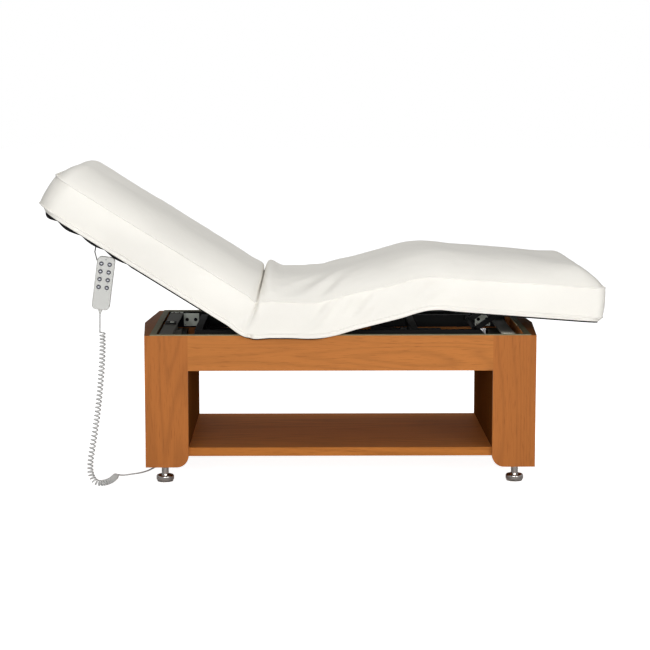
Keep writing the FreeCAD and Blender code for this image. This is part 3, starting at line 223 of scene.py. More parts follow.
def wood_material(name, base, along, deep_share=0.62, gloss=0.14):
    """Lacquered veneer with its grain along one axis, 0 for X and 2 for Z."""
    shader = Shader(name)
    flow = shader.cloud(shader.position(grain_scale(7.0, 0.62, along)), 1.0, 1.5, 0.45, 0.35)
    rings = ((flow * RING_REPEAT).sine() * 0.5 + 0.5) ** RING_SHARPNESS
    fibre = shader.cloud(shader.position(grain_scale(150.0, 3.4, along)), 1.0, 3.0, 0.62, 0.25)
    specks = shader.cloud(shader.position(grain_scale(520.0, 20.0, along)), 1.0, 1.0)
    patch = shader.cloud(shader.position(grain_scale(3.6, 1.1, along), PATCH_OFFSET), 1.0)
    deep = shaded(base, deep_share)
    ground = shader.mix(shader.fade_in(patch, 0.36, 0.66), base, shaded(base, PALE_SHARE))
    lined = shader.mix(rings * patch * 0.5, ground, deep)
    streaked = shader.mix(fibre * 0.42, lined, shader.mix(0.7, lined, deep))
    dots = shader.ramp(specks, [(0.28, (0.55, 0.5, 0.46)), (0.40, (1.0, 1.0, 1.0))])
    shader.set(Base_Color=shader.mix(0.5, streaked, dots, "MULTIPLY"))
    shader.set(Roughness=0.5 + 0.14 * fibre - 0.06 * patch)
    shader.set(Normal=shader.bump(fibre + specks * 0.4, 0.1, 0.0004))
    shader.set(Specular_IOR_Level=gloss)
    return shader.material


def painted_material(name, color, roughness=0.45, gloss=0.4, grain=900.0, relief=0.05):
    """Paint, plastic or powder coat with a faint orange peel."""
    shader = Shader(name, color, roughness, Specular_IOR_Level=gloss)
    peel = shader.cloud(shader.position(), grain)
    broad = shader.cloud(shader.position(), 6.0, 3.0)
    shader.set(Roughness=roughness + 0.12 * broad - 0.06)
    shader.set(Normal=shader.bump(peel, relief, 0.0004))
    return shader.material


def drawn_metal_material(name, color, roughness):
    """Bright metal with fine lines along X."""
    shader = Shader(name, color, roughness, 1.0)
    lines = shader.cloud(shader.position(grain_scale(900.0, 12.0, 0)), 1.0)
    shader.set(Roughness=roughness + 0.18 * lines - 0.09)
    shader.set(Normal=shader.bump(lines, 0.06, 0.0002))
    return shader.material


# Leather: how much of its colour is left where it is worn, and where painted shade darkens it
WORN_SHARE = 0.93
CREASE_SHADE_SHARE = 0.8


def leather_material(name, color):
    """White upholstery leather with a fine pebble and faint soft creases, darkened by painted shade where
    the mesh's shade attribute is set.
    """
    shader = Shader(name, color, 0.44)
    where = shader.position()
    pebble_values = {"Vector": where, "Scale": 620.0, "Randomness": 0.9}
    pebble = shader.add("ShaderNodeTexVoronoi", {"feature": "F1"}, pebble_values)
    creases = shader.cloud(shader.position((5.0, 9.0, 9.0)), 1.4, 4.0, 0.55, 0.8)
    soft = shader.cloud(where, 34.0, 3.0)
    broad = shader.cloud(where, 3.2)
    ground = shader.mix(shader.fade_in(broad, 0.35, 0.7), color, shaded(color, WORN_SHARE))
    # Painted shade: the mesh's shade attribute, weighted by hidden, takes the colour down in the back's
    # crevice and along the side pinch
    crease_shade = shader.add("ShaderNodeAttribute", {"attribute_name": "shade"}, {}, 2)
    hidden = shader.fade_in(crease_shade, 0.0, 0.5)
    shader.set(Base_Color=shader.mix(hidden, ground, shaded(color, CREASE_SHADE_SHARE)))
    shader.set(Roughness=0.42 + 0.14 * broad + 0.05 * pebble)
    coarse = shader.bump(creases * 1.2 + soft * 0.35, 0.28, 0.006)
    shader.set(Normal=shader.bump(pebble, 0.14, 0.0005, coarse))
    return shader.material


def cord_material():
    """Grey flexible cord with a soft sheen."""
    shader = Shader("cord", tone(200, 200, 198), 0.42)
    broad = shader.cloud(shader.position(), 40.0)
    shader.set(Roughness=0.36 + 0.14 * broad)
    return shader.material


CHERRY = tone(180, 108, 50)
CHERRY_FRONT = tone(190, 118, 56)
WOOD_UPRIGHT = wood_material("cherry upright", CHERRY, 2, 0.55)
WOOD_LEVEL = wood_material("cherry level", CHERRY_FRONT, 0)
# A slightly darker copy of the cherry with little gloss for the floors inside the cabinet; the darker tone
# is painted shade
WOOD_INSIDE_SHADE = wood_material("cherry inside painted shade", tone(168, 100, 50), 0, 0.62, 0.03)
# The shelf's copy of the front veneer has deeper streaks, partly real grain and partly painted shade from
# the bed above it, and little gloss
WOOD_SHELF = wood_material("cherry shelf", CHERRY_FRONT, 0, 0.42, 0.02)
# A much darker copy of the same cherry for the bay's side panels, as painted shade
WOOD_BAY_SHADE = wood_material("cherry bay painted shade", tone(112, 66, 28), 2, 0.62, 0.0)
OLIVE = painted_material("olive enamel", tone(140, 134, 104), 0.55, 0.25)
BLACK = painted_material("black enamel", tone(18, 18, 18), 0.6, 0.12)
GREY_STEEL = painted_material("dark grey enamel", tone(104, 102, 94), 0.55, 0.25)
ZINC = painted_material("zinc plate", tone(226, 232, 220), 0.5, 0.4)
CHROME = drawn_metal_material("chrome", tone(196, 192, 188), 0.12)
ROD = drawn_metal_material("ground rod", tone(190, 190, 192), 0.24)
LEATHER = leather_material("white leather", tone(248, 245, 237))
PIPING = leather_material("white piping", tone(249, 246, 239))
DUST_CLOTH = painted_material("black dust cloth", tone(22, 22, 24), 0.85, 0.15, 1400.0, 0.2)
BOARD_PAINT = painted_material("black board", tone(24, 23, 22), 0.75, 0.15)
BLACK_PLASTIC = painted_material("black plastic", tone(34, 34, 36), 0.5)
HANDSET = painted_material("light grey plastic", tone(203, 203, 199), 0.42, 0.35, 1500.0, 0.04)
KEY = painted_material("dark key rubber", tone(62, 62, 72), 0.35, 0.5)
KEY_MARK = painted_material("pale key mark", tone(206, 208, 214), 0.4)
PRINT = painted_material("grey print", tone(132, 134, 138), 0.6)
LENS = painted_material("lamp lens", tone(150, 150, 152), 0.2, 0.5)
WIRE = drawn_metal_material("hook wire", tone(104, 102, 98), 0.4)
CORD = cord_material()
LEAD = painted_material("pale lead", tone(196, 194, 188), 0.5, 0.3)


def paint(material, *names):
    """Give CAD nodes one material."""
    for name in names:
        nodes[name].data.materials.clear()
        nodes[name].data.materials.append(material)


paint(WOOD_UPRIGHT, "leg_boards", "end_panels")
paint(WOOD_LEVEL, "aprons")
paint(WOOD_SHELF, "shelf")
# The floors inside take the darker copy of the cherry as painted shade
paint(WOOD_INSIDE_SHADE, "tray_floor", "leg_floor_panels")
# The bay's side panels take the darker copy of the cherry as painted shade
paint(WOOD_BAY_SHADE, "bay_side_panels")
paint(OLIVE, "rim_frame")
paint(BLACK, "side_rails", "arm_pivot_brackets", "head_lift_arms", "foot_lift_arms")
paint(BLACK, "bed_frame", "back_frame", "thigh_frame", "calf_frame", "calf_prop", "bed_frame_pins")
paint(GREY_STEEL, "cross_channels")
paint(ZINC, "rail_plates")
paint(CHROME, "front_head_foot", "front_foot_foot", "rear_head_foot", "rear_foot_foot")
paint(CHROME, "foot_lock_nuts")
paint(ROD, "back_rod", "leg_rod", "lift_rod")
paint(BLACK_PLASTIC, "back_actuator", "leg_actuator", "lift_actuator", "control_box")
paint(BOARD_PAINT, "back_board", "seat_board", "thigh_board", "calf_board")
paint(HANDSET, "handset_front_shell", "handset_rear_shell")
paint(WIRE, "handset_hook")
key_names = [key for key in nodes if key.startswith("key_")]
paint(KEY, *key_names)
paint(LEATHER, "back_pad", "seat_pad", "thigh_pad", "calf_pad")
paint(LEATHER, "back_border", "seat_border", "thigh_border", "calf_border")
paint(LEATHER, "back_fold", "lap_fold", "knee_fold")
paint(CORD, "curly_cord", "floor_cable")


def from_bmesh(name, shape, material, body, smooth=True):
    """Turn a bmesh into a finished object at the origin that moves with one body."""
    bmesh.ops.recalc_face_normals(shape, faces=shape.faces)
    mesh = bpy.data.meshes.new(name)
    shape.to_mesh(mesh)
    shape.free()
    if smooth:
        mesh.polygons.foreach_set("use_smooth", [True] * len(mesh.polygons))
    piece = bpy.data.objects.new(name, mesh)
    bpy.context.scene.collection.objects.link(piece)
    mesh.materials.append(material)
    if body:
        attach(piece, body)
    return piece


def add_ring(shape, centre, across, side, radius, sides):
    """A ring of new points round a centre, in the plane of two directions."""
    ring = []
    for k in range(sides):
        angle = 2 * math.pi * k / sides
        offset = across * math.cos(angle) + side * math.sin(angle)
        ring.append(shape.verts.new(centre + offset * radius))
    return ring


def join_rings(shape, first, second):
    """Four-sided faces between two rings with as many points each."""
    count = len(first)
    for k in range(count):
        n = (k + 1) % count
        shape.faces.new((first[k], first[n], second[n], second[k]))


def close_ends(shape, first, last):
    """A face over each end of a tube."""
    shape.faces.new(list(reversed(first)))
    shape.faces.new(last)


# Cord routes in millimetres: a straight lead, the curly part, and the cable across the floor
LEAD_ROUTE = [(-801.5, -372, 588.2), (-801.7, -372, 556), (-802.4, -372, 527)]
CURLY_ROUTE = [
    (-794, -372, 527),
    (-793.5, -372, 480),
    (-796.5, -373, 425),
    (-801.5, -374, 366),
    (-807.5, -374, 308),
    (-814.5, -375, 250),
    (-823, -376, 192),
    (-832.5, -377, 138),
    (-841, -379, 88),
    (-840, -381, 45),
    (-822.5, -378, 16),
    (-797, -360, 12.4),
    (-780, -325, 12.5),
    (-772, -283, 12.5),
    (-768, -240, 12.5),
]
FLOOR_ROUTE = [
    (-768, -240, 12.5),
    (-766.2, -221, 12.5),
    (-761, -205, 7),
    (-746, -190, 3),
    (-722, -172, 3),
    (-694, -152, 3),
    (-671, -118, 3),
    (-655, -70, 3),
    (-640, -22, 3),
    (-619, 14, 4),
    (-600, 30, 16),
    (-592, 34, 38),
    (-592, 34, 56),
]
WIRE_RADIUS = 2.7 * MM
CURL_RADIUS = 8.4 * MM
CURVE_STEPS = 24

# The coil's pitch at its top, in its middle and on the floor, and the shares of its
# length over which it opens and closes again
TOP_PITCH, MIDDLE_PITCH, FLOOR_PITCH = 11.2 * MM, 13.9 * MM, 11.0 * MM
OPEN_SHARE = 0.12
CLOSE_START, CLOSE_SHARE = 0.66, 0.06
PITCH_STEPS = 200
TURN_MARKS = 60
WIRE_STEP = 0.45 * MM
COIL_END = 9.0 * MM
LOOSE_SHARE = 0.05


def route_curve(name, points):
    """A smooth curve through the lay of a route, in the part's frame."""
    curve = bpy.data.curves.new(name, "CURVE")
    curve.dimensions = "3D"
    spline = curve.splines.new("NURBS")
    spline.points.add(len(points) - 1)
    for point, (x, y, z) in zip(spline.points, points):
        point.co = (*place(x, y, z), 1.0)
    spline.order_u = 3
    spline.use_endpoint_u = True
    spline.resolution_u = CURVE_STEPS
    curve.resolution_u = CURVE_STEPS
    return curve


def curve_points(name, points):
    """Points read along a route's smooth curve."""
    holder = bpy.data.objects.new(name, route_curve(name, points))
    bpy.context.scene.collection.objects.link(holder)
    mesh = bpy.data.meshes.new_from_object(holder)
    line = [v.co.copy() for v in mesh.vertices]
    bpy.data.objects.remove(holder)
    return line


def along_line(line):
    """Distances from a line's start to each of its points."""
    lengths = [0.0]
    for a, b in zip(line, line[1:]):
        lengths.append(lengths[-1] + (b - a).length)
    return lengths


def point_at(line, lengths, distance):
    """The point and direction at one distance along a line."""
    low, high = 0, len(lengths) - 1
    while high - low > 1:
        mid = (low + high) // 2
        if lengths[mid] > distance:
            high = mid
        else:
            low = mid
    span = max(lengths[high] - lengths[low], 1e-9)
    share = (distance - lengths[low]) / span
    return line[low].lerp(line[high], share), (line[high] - line[low]).normalized()


def curl_phase(distance, total):
    """Turns made by the time the wire has gone this far along its route."""
    turns = 0.0
    for i in range(PITCH_STEPS):
        share = distance * (i + 0.5) / PITCH_STEPS / total
        pitch = TOP_PITCH + (MIDDLE_PITCH - TOP_PITCH) * min(1.0, share / OPEN_SHARE)
        if share > CLOSE_START:
            pitch += (FLOOR_PITCH - MIDDLE_PITCH) * min(1.0, (share - CLOSE_START) / CLOSE_SHARE)
        turns += distance / PITCH_STEPS / pitch
    return turns


def curled_wire(line):
    """The line of a curly cord, wound round its route from the side that the lead comes down."""
    lengths = along_line(line)
    total = lengths[-1]
    across = Vector((0.0, 1.0, 0.0))
    samples = int(total / WIRE_STEP)
    marks = [curl_phase(total * i / TURN_MARKS, total) for i in range(TURN_MARKS + 1)]
    wound = []
    for i in range(samples + 1):
        s = total * i / samples
        centre, ahead = point_at(line, lengths, s)
        across = (across - ahead * across.dot(ahead)).normalized()
        side = ahead.cross(across)
        mark = s / total * TURN_MARKS
        k = min(TURN_MARKS - 1, int(mark))
        turn = marks[k] + (marks[k + 1] - marks[k]) * (mark - k)
        swell = eased((total - s) / COIL_END)
        loose = 1.0 + LOOSE_SHARE * noise.noise(Vector((s * 40, 0.3, 0.7)))
        radius = CURL_RADIUS * swell * loose
        angle = 2 * math.pi * (turn - 0.25)
        wound.append(centre + (across * math.cos(angle) + side * math.sin(angle)) * radius)
    return wound


WIRE_SIDES = 8


def wire_tube(name, line, radius, material, body):
    """A round closed tube along a line, made by carrying one ring from point to point."""
    shape = bmesh.new()
    across = Vector((0.0, 1.0, 0.0))
    rings = []
    for i, centre in enumerate(line):
        ahead = (line[min(i + 1, len(line) - 1)] - line[max(i - 1, 0)]).normalized()
        if abs(ahead.dot(across)) > 0.98:
            across = Vector((1.0, 0.0, 0.0))
        across = (across - ahead * across.dot(ahead)).normalized()
        rings.append(add_ring(shape, centre, across, ahead.cross(across), radius, WIRE_SIDES))
    for first, second in zip(rings, rings[1:]):
        join_rings(shape, first, second)
    close_ends(shape, rings[0], rings[-1])
    return from_bmesh(name, shape, material, body)


# The handset's cord in one piece, from the handset to where it goes up into the leg box
lead_line = curve_points("lead route", LEAD_ROUTE)
curly_line = curve_points("curly route", CURLY_ROUTE)
floor_line = curve_points("floor route", FLOOR_ROUTE)
wound_line = curled_wire(curly_line)
whole_line = lead_line[:-1] + wound_line[:-1] + floor_line
handset_cord = wire_tube("handset_cord", whole_line, WIRE_RADIUS, CORD, "base")
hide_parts("curly_cord", "floor_cable")
cord_length = along_line(whole_line)[-1]

# The mattress, drawn flat and then bent into its rest pose. X is the flat X, which grows
# towards the foot end, and all lengths here are in millimetres.
BACK_HINGE_X = -305.0
THIGH_HINGE_X = -62.0
KNEE_X = 302.0
HINGE_Z = 523.7
HEAD_END = -1125.0
FOOT_END = 890.0
HALF_WIDTH = 380.0
BOARD_LEVEL = 521.0
HEM_LEVEL = 507.0
UNDERSIDE_LEVEL = 533.0
SEAM_LEVEL = 629.0
CROWN_LEVEL = 696.5
HEAD_CORNER = 68.0
FOOT_CORNER = 30.0
PINCH = 13.0
SEAM_SHARE = 0.35
BACK_BEND = math.radians(32.0)
LAP_BEND = math.radians(14.2)
KNEE_BEND = math.radians(18.5)

# Where each bend starts and how long it is
BACK_ZONE = (BACK_HINGE_X - 81.0, 150.0)
LAP_ZONE = (THIGH_HINGE_X - 118.0, 236.0)
KNEE_ZONE = (KNEE_X - 105.0, 210.0)

# The top panel: how far in from the sides and ends it reaches its full height, and the
# share of that height that it gains at once beside the seam
SIDE_REACH, FOOT_REACH_LOSS = 240.0, 120.0
HEAD_REACH, HEAD_FULLNESS = 90.0, 2.8
FOOT_REACH, FOOT_FULLNESS = 100.0, 1.5
SIDE_FULLNESS = 2.4
QUICK_RISE = 0.11
TAPER_START = 600.0

# The crevice at the back's hinge, the roll of the seat beside it and the dip above it
CREVICE_DEPTH = 22.0
ROLL_HEIGHT = 25.0
SHOULDER_DIP = 3.0

# Flat X of the two cuts between the mattress's three pieces, and the mesh's fineness
SEAT_CUT = -178.0
THIGH_CUT = 118.0
HEAD_STEPS, FOOT_STEPS = 12, 10
FINE_STEP, COARSE_STEP = 3.2, 9.0
FINE_REACH, CUT_REACH = 85.0, 14.0
CUT_CLEARANCE = 1.5
ROW_COUNT = 92


def ease_over(x, start, length):
    """Zero up to a start and one from a length beyond it, soft at both."""
    return eased((x - start) / length)


def hill(x, centre, width):
    """One at a centre, falling away smoothly over a width on both sides."""
    return math.exp(-(((x - centre) / width) ** 2))


def turn_about(x, z, hinge_x, angle):
    """Turn a point so that a positive angle raises what lies towards the foot end."""
    dx, dz = x - hinge_x, z - HINGE_Z
    c, s = math.cos(angle), math.sin(angle)
    return hinge_x + dx * c - dz * s, HINGE_Z + dx * s + dz * c


def bent(x, y, z):
    """Where a point of the flat mattress lies at rest, with smooth bends at the hinges."""
    back = 1.0 - ease_over(x, *BACK_ZONE)
    lap = ease_over(x, *LAP_ZONE)
    knee = ease_over(x, *KNEE_ZONE)
    if back > 0.0:
        x, z = turn_about(x, z, BACK_HINGE_X, -BACK_BEND * back)
    if knee > 0.0:
        x, z = turn_about(x, z, KNEE_X, -KNEE_BEND * knee)
    if lap > 0.0:
        x, z = turn_about(x, z, THIGH_HINGE_X, LAP_BEND * lap)
    return x, y, z


def seam_level(x):
    """Height of the upper seam: lower from the lap on, and a little up again at the foot."""
    return SEAM_LEVEL - 8.0 * ease_over(x, -40.0, 340.0) + 5.0 * ease_over(x, KNEE_X, 420.0)


def hem_lift(x):
    """How far the lower edge is drawn up under the legs."""
    return 6.0 * ease_over(x, KNEE_X - 60.0, 160.0)


def side_pinch(x, share):
    """One along the crevice where it runs down the side panel, and zero away from it."""
    return hill(x, BACK_HINGE_X + 3.0 - 16.0 * (1.0 - share), 8.0)


def nearest_end(x):
    """How far a flat X lies from the nearest end, and that end's corner radius."""
    from_head, from_foot = x - HEAD_END, FOOT_END - x
    return (from_head, HEAD_CORNER) if from_head < from_foot else (from_foot, FOOT_CORNER)


def plan_half_width(x):
    """Half the mattress's width at a flat X, inside its rounded corners."""
    end, corner = nearest_end(x)
    if end >= corner:
        return HALF_WIDTH - PINCH * side_pinch(x, 1.0)
    across = corner - end
    return HALF_WIDTH - corner + math.sqrt(max(0.0, corner**2 - across**2))


def inward_share(y):
    """One along the middle of the bed and zero at its sides."""
    return 1.0 - (abs(y) / HALF_WIDTH) ** 2


def groove_share(x, y):
    """One at the bottom of the back's crevice, falling to zero at its two edges."""
    inward = inward_share(y)
    from_crease = x - (BACK_HINGE_X - 4.0 + 14.0 * inward)
    width = (18.0 + 40.0 * inward) if from_crease < 0 else (14.0 + 10.0 * inward)
    return max(0.0, 1.0 - abs(from_crease) / width)


def crease_depth(x, y):
    """How far the top dips at the crevice of the back; below zero where the seat bulges."""
    inward = inward_share(y)
    depth = CREVICE_DEPTH * groove_share(x, y) * (0.12 + 0.88 * inward * (1.35 - 0.85 * inward))
    depth -= ROLL_HEIGHT * hill(x, BACK_HINGE_X + 62.0, 29.0) * (0.3 + 0.7 * inward)
    return depth - SHOULDER_DIP * hill(x, BACK_HINGE_X - 62.0, 30.0)


def surface_noise(x, y, z, scale, seed):
    return noise.noise(Vector((x / scale + seed, y / scale - seed, z / scale + seed * 0.7)))


def top_height(x, y):
    """Height of the top panel's surface on the flat mattress."""
    across = max(0.0, plan_half_width(x) - abs(y))
    end = max(0.0, min(x - HEAD_END, FOOT_END - x))
    reach = SIDE_REACH - FOOT_REACH_LOSS * ease_over(x, TAPER_START, 220.0)
    side_rise = 1.0 - (1.0 - min(1.0, across / reach)) ** SIDE_FULLNESS
    end_reach, fullness = (HEAD_REACH, HEAD_FULLNESS) if x < 0 else (FOOT_REACH, FOOT_FULLNESS)
    end_rise = 1.0 - (1.0 - min(1.0, end / end_reach)) ** fullness
    rise = (1.0 - QUICK_RISE) * (1.0 - math.hypot(1.0 - side_rise, 1.0 - end_rise))
    rise += QUICK_RISE * (1.0 - math.exp(-across / 13.0)) * (1.0 - math.exp(-end / 12.0))
    seam = seam_level(x)
    crown = CROWN_LEVEL - 8.0 * ease_over(x, TAPER_START, 150.0)
    height = seam + (crown - seam) * max(0.0, rise)
    height += 7.0 * side_rise * hill(x, -76.0, 72.0)
    fade = min(1.0, across / 30.0)
    height -= crease_depth(x, y) * (SEAM_SHARE + (1.0 - SEAM_SHARE) * fade)
    height += 2.2 * fade * surface_noise(x, y, 0.0, 130.0, 4.0)
    height += 0.9 * fade * surface_noise(x * 1.6, y, 3.0, 38.0, 9.0)
    lap = hill(x, -80.0, 150.0) * hill(across, 90.0, 110.0)
    folds = surface_noise(x * 0.9 - 0.9 * across, x * 0.12, 0.0, 62.0, 2.0)
    return height + 12.0 * fade * lap * folds


def side_bulge(share):
    """How far the boxing stands out of its plan line between hem (0) and seam (1)."""
    return 3.6 * math.sin(math.pi * share) - 0.6


def boxing_wrinkle(x, y, share):
    """Soft wrinkles of the side panel, strongest near the creases."""
    amount = 0.8 + 17.0 * hill(x, 30.0, 120.0)
    amount += 5.0 * hill(x, BACK_HINGE_X, 80.0) + 4.0 * hill(x, KNEE_X, 130.0)
    slope = x - 130.0 * share
    wave = noise.noise(Vector((slope / 30.0, share * 0.9, 2.0 if y < 0 else 7.0)))
    broad = noise.noise(Vector((x / 150.0, share * 1.4, 5.0 if y < 0 else 1.0)))
    return (wave * amount + broad * 3.0) * math.sin(math.pi * share)


def flat_columns():
    """Flat X values of the mattress's columns, closer together where it bends or turns."""
    columns = []
    for k in range(HEAD_STEPS):
        turned = math.cos(math.pi / 2 * k / HEAD_STEPS)
        columns.append(HEAD_END + HEAD_CORNER * (1.0 - turned))
    x = HEAD_END + HEAD_CORNER
    while x < FOOT_END - FOOT_CORNER:
        columns.append(x)
        near_back = abs(x - BACK_HINGE_X) < FINE_REACH
        near_cut = min(abs(x - SEAT_CUT), abs(x - THIGH_CUT)) < CUT_REACH
        step = FINE_STEP if near_back or near_cut else COARSE_STEP
        next_cut = min((cut for cut in (SEAT_CUT, THIGH_CUT) if cut > x + 0.5), default=FOOT_END)
        if x + step > next_cut - CUT_CLEARANCE and next_cut < FOOT_END:
            x = next_cut
        else:
            x += step
    for k in range(FOOT_STEPS, -1, -1):
        turned = math.cos(math.pi / 2 * k / FOOT_STEPS)
        columns.append(FOOT_END - FOOT_CORNER * (1.0 - turned))
    return columns


# Rows across the mattress from -1 to 1, closer together towards its sides
ROWS = []
for row in range(ROW_COUNT + 1):
    u = -1.0 + 2.0 * row / ROW_COUNT
    ROWS.append(0.45 * u + 0.55 * math.sin(u * math.pi / 2))
COLUMNS = flat_columns()


def plan_normal(x, y):
    """The outward direction at a point of the plan's edge."""
    end_side = -1.0 if x - HEAD_END < FOOT_END - x else 1.0
    end, corner = nearest_end(x)
    y_side = -1.0 if y < 0 else 1.0
    if end >= corner:
        return Vector((0.0, y_side, 0.0))
    if abs(y) <= HALF_WIDTH - corner + 0.01:
        return Vector((end_side, 0.0, 0.0))
    centre_x = FOOT_END - corner if end_side > 0 else HEAD_END + corner
    out = Vector((x - centre_x, y - y_side * (HALF_WIDTH - corner), 0.0))
    return out.normalized()


def edge_loop_plan():
    """Column and row numbers round the plan's edge, head to foot along the front side first."""
    last_column, last_row = len(COLUMNS) - 1, len(ROWS) - 1
    loop = [(i, 0) for i in range(last_column + 1)]
    loop += [(last_column, j) for j in range(1, last_row + 1)]
    loop += [(i, last_row) for i in range(last_column - 1, -1, -1)]
    loop += [(0, j) for j in range(last_row - 1, 0, -1)]
    return loop


EDGE_LOOP = edge_loop_plan()


def plan_point(i, j):
    x = COLUMNS[i]
    return x, ROWS[j] * plan_half_width(x)


# The boxing's levels as shares of its height, from the seam (1) down to the board (0)
SIDE_SHARES = [1.0, 0.985, 0.955, 0.91, 0.85, 0.78, 0.7, 0.6, 0.5, 0.4, 0.3, 0.21, 0.13, 0.07]
SIDE_SHARES += [0.03, 0.0]

# Each level of the hem and of the hidden rim under it: how far out of the plan line, how high
HEM_LEVELS = [(0.6, 517.5), (1.4, 513.5), (1.2, 509.5), (0.0, 507.2), (-3.0, 506.6), (-6.0, 508.5)]
UNDER_LEVELS = [(-7.0, 514.0), (-7.5, 522.0), (-9.0, 530.0)]
HEM_TUCK = 1.5
UNDERSIDE_INSET = 12.0
UNDERSIDE_LENGTH_SHARE = 0.996


def end_tuck(x, height):
    """How far the hem is drawn in under the head and foot ends at one height."""
    end, corner = nearest_end(x)
    most = 26.0 if corner == HEAD_CORNER else 10.0
    return most * (1.0 - eased(end / (corner + 40.0))) * eased((BOARD_LEVEL + 4.0 - height) / 18.0)


def side_point(x, y, share):
    """A point of the boxing on the flat mattress."""
    out = side_bulge(share) + boxing_wrinkle(x, y, share)
    out += PINCH * (side_pinch(x, 1.0) - side_pinch(x, share) * share**1.3)
    out += 2.2 * hill(x, BACK_HINGE_X + 26.0, 14.0) * share * (1.0 - share) * 4.0
    out += 3.5 * hill(x, BACK_HINGE_X - 26.0, 9.0) * hill(share, 0.3, 0.2)
    height = BOARD_LEVEL + (seam_level(x) - BOARD_LEVEL) * share
    height -= crease_depth(x, y) * SEAM_SHARE * share**2
    height += hem_lift(x) * (1.0 - share) ** 2
    spot = Vector((x, y, 0.0)) + plan_normal(x, y) * out
    return spot.x, spot.y, height


def mattress_shape():
    """The whole mattress cover as one closed mesh at rest, with each point's flat X and its share of painted
    shade.
    """
    shape = bmesh.new()
    flat = shape.verts.layers.float.new("flat")
    shade = shape.verts.layers.float.new("shade")

    def point(x, y, z, flat_x, dark=0.0):
        vert = shape.verts.new(place(*bent(x, y, z)))
        vert[flat] = flat_x
        vert[shade] = dark
        return vert

    top = {}
    for i in range(len(COLUMNS)):
        for j in range(len(ROWS)):
            x, y = plan_point(i, j)
            # The top's painted shade is darkest at the bottom of the back's crevice
            top[i, j] = point(x, y, top_height(x, y), x, groove_share(x, y))
    rings = [[top[key] for key in EDGE_LOOP]]
    for share in SIDE_SHARES[1:]:
        ring = []
        for i, j in EDGE_LOOP:
            x, y = plan_point(i, j)
            # The side's painted shade runs down the pinch under the crevice
            ring.append(point(*side_point(x, y, share), x, 0.5 * side_pinch(x, share) * share**0.6))
        rings.append(ring)
    for out, height in HEM_LEVELS + UNDER_LEVELS:
        ring = []
        for i, j in EDGE_LOOP:
            x, y = plan_point(i, j)
            inset = out - (HEM_TUCK + end_tuck(x, height))
            spot = Vector((x, y, 0.0)) + plan_normal(x, y) * inset
            low = eased((520.0 - height) / 6.0)
            ring.append(point(spot.x, spot.y, height + hem_lift(x) * low, x))
        rings.append(ring)
    for upper, lower in zip(rings, rings[1:]):
        join_rings(shape, upper, lower)
    under = dict(zip(EDGE_LOOP, rings[-1]))
    width_share = (HALF_WIDTH - UNDERSIDE_INSET) / HALF_WIDTH
    for i in range(1, len(COLUMNS) - 1):
        for j in range(1, len(ROWS) - 1):
            x, y = plan_point(i, j)
            under[i, j] = point(x * UNDERSIDE_LENGTH_SHARE, y * width_share, UNDERSIDE_LEVEL, x)
    for i in range(len(COLUMNS) - 1):
        for j in range(len(ROWS) - 1):
            a, b, c, d = (i, j), (i + 1, j), (i + 1, j + 1), (i, j + 1)
            shape.faces.new((top[a], top[b], top[c], top[d]))
            shape.faces.new((under[d], under[c], under[b], under[a]))
    return shape


def cut_piece(shape, low, high):
    """The part of a flat-numbered mesh between two flat X values, closed at its cuts."""
    piece = shape.copy()
    flat = piece.verts.layers.float["flat"]
    spare = []
    for face in piece.faces:
        middle_x = sum(v[flat] for v in face.verts) / len(face.verts)
        if not low < middle_x < high:
            spare.append(face)
    bmesh.ops.delete(piece, geom=spare, context="FACES")
    open_edges = [e for e in piece.edges if e.is_boundary]
    for edge in open_edges:
        edge.smooth = False
    bmesh.ops.holes_fill(piece, edges=open_edges, sides=0)
    return piece


# The piping along both seams and the scallops of the dust cover
PIPING_SIDES = 8
UPPER_PIPING_OUT, UPPER_PIPING_RADIUS = 1.2, 2.9
LOWER_PIPING_OUT, LOWER_PIPING_RADIUS = -0.2, 2.4
FOOT_PIPING_TUCK = 2.8
SCALLOP_LENGTH, SCALLOP_START = 90.0, 1.5


def edge_band(section):
    """A closed band round the plan's edge. A function gives its section's points at each place."""
    shape = bmesh.new()
    flat = shape.verts.layers.float.new("flat")
    rings = []
    for i, j in EDGE_LOOP:
        x, y = plan_point(i, j)
        normal = plan_normal(x, y)
        ring = []
        for out, z in section(x, y):
            spot = Vector((x, y, 0.0)) + normal * out
            vert = shape.verts.new(place(*bent(spot.x, spot.y, z)))
            vert[flat] = x
            ring.append(vert)
        rings.append(ring)
    for first, second in zip(rings, rings[1:] + rings[:1]):
        join_rings(shape, first, second)
    return shape


def piping_section(out, height, radius):
    """The round section of a cord sewn in at one height."""
    angles = [2 * math.pi * k / PIPING_SIDES for k in range(PIPING_SIDES)]
    return [(out + radius * math.cos(a), height + radius * math.sin(a)) for a in angles]


def upper_piping(x, y):
    """The cord along the upper seam, drawn in at the foot end."""
    drawn_in = FOOT_PIPING_TUCK * ease_over(x, FOOT_END - 60.0, 40.0)
    height = seam_level(x) - crease_depth(x, y) * SEAM_SHARE
    return piping_section(UPPER_PIPING_OUT - drawn_in, height, UPPER_PIPING_RADIUS)


def lower_piping(x, y):
    """The cord along the lower seam, at the level of the boards."""
    return piping_section(LOWER_PIPING_OUT, BOARD_LEVEL + hem_lift(x), LOWER_PIPING_RADIUS)


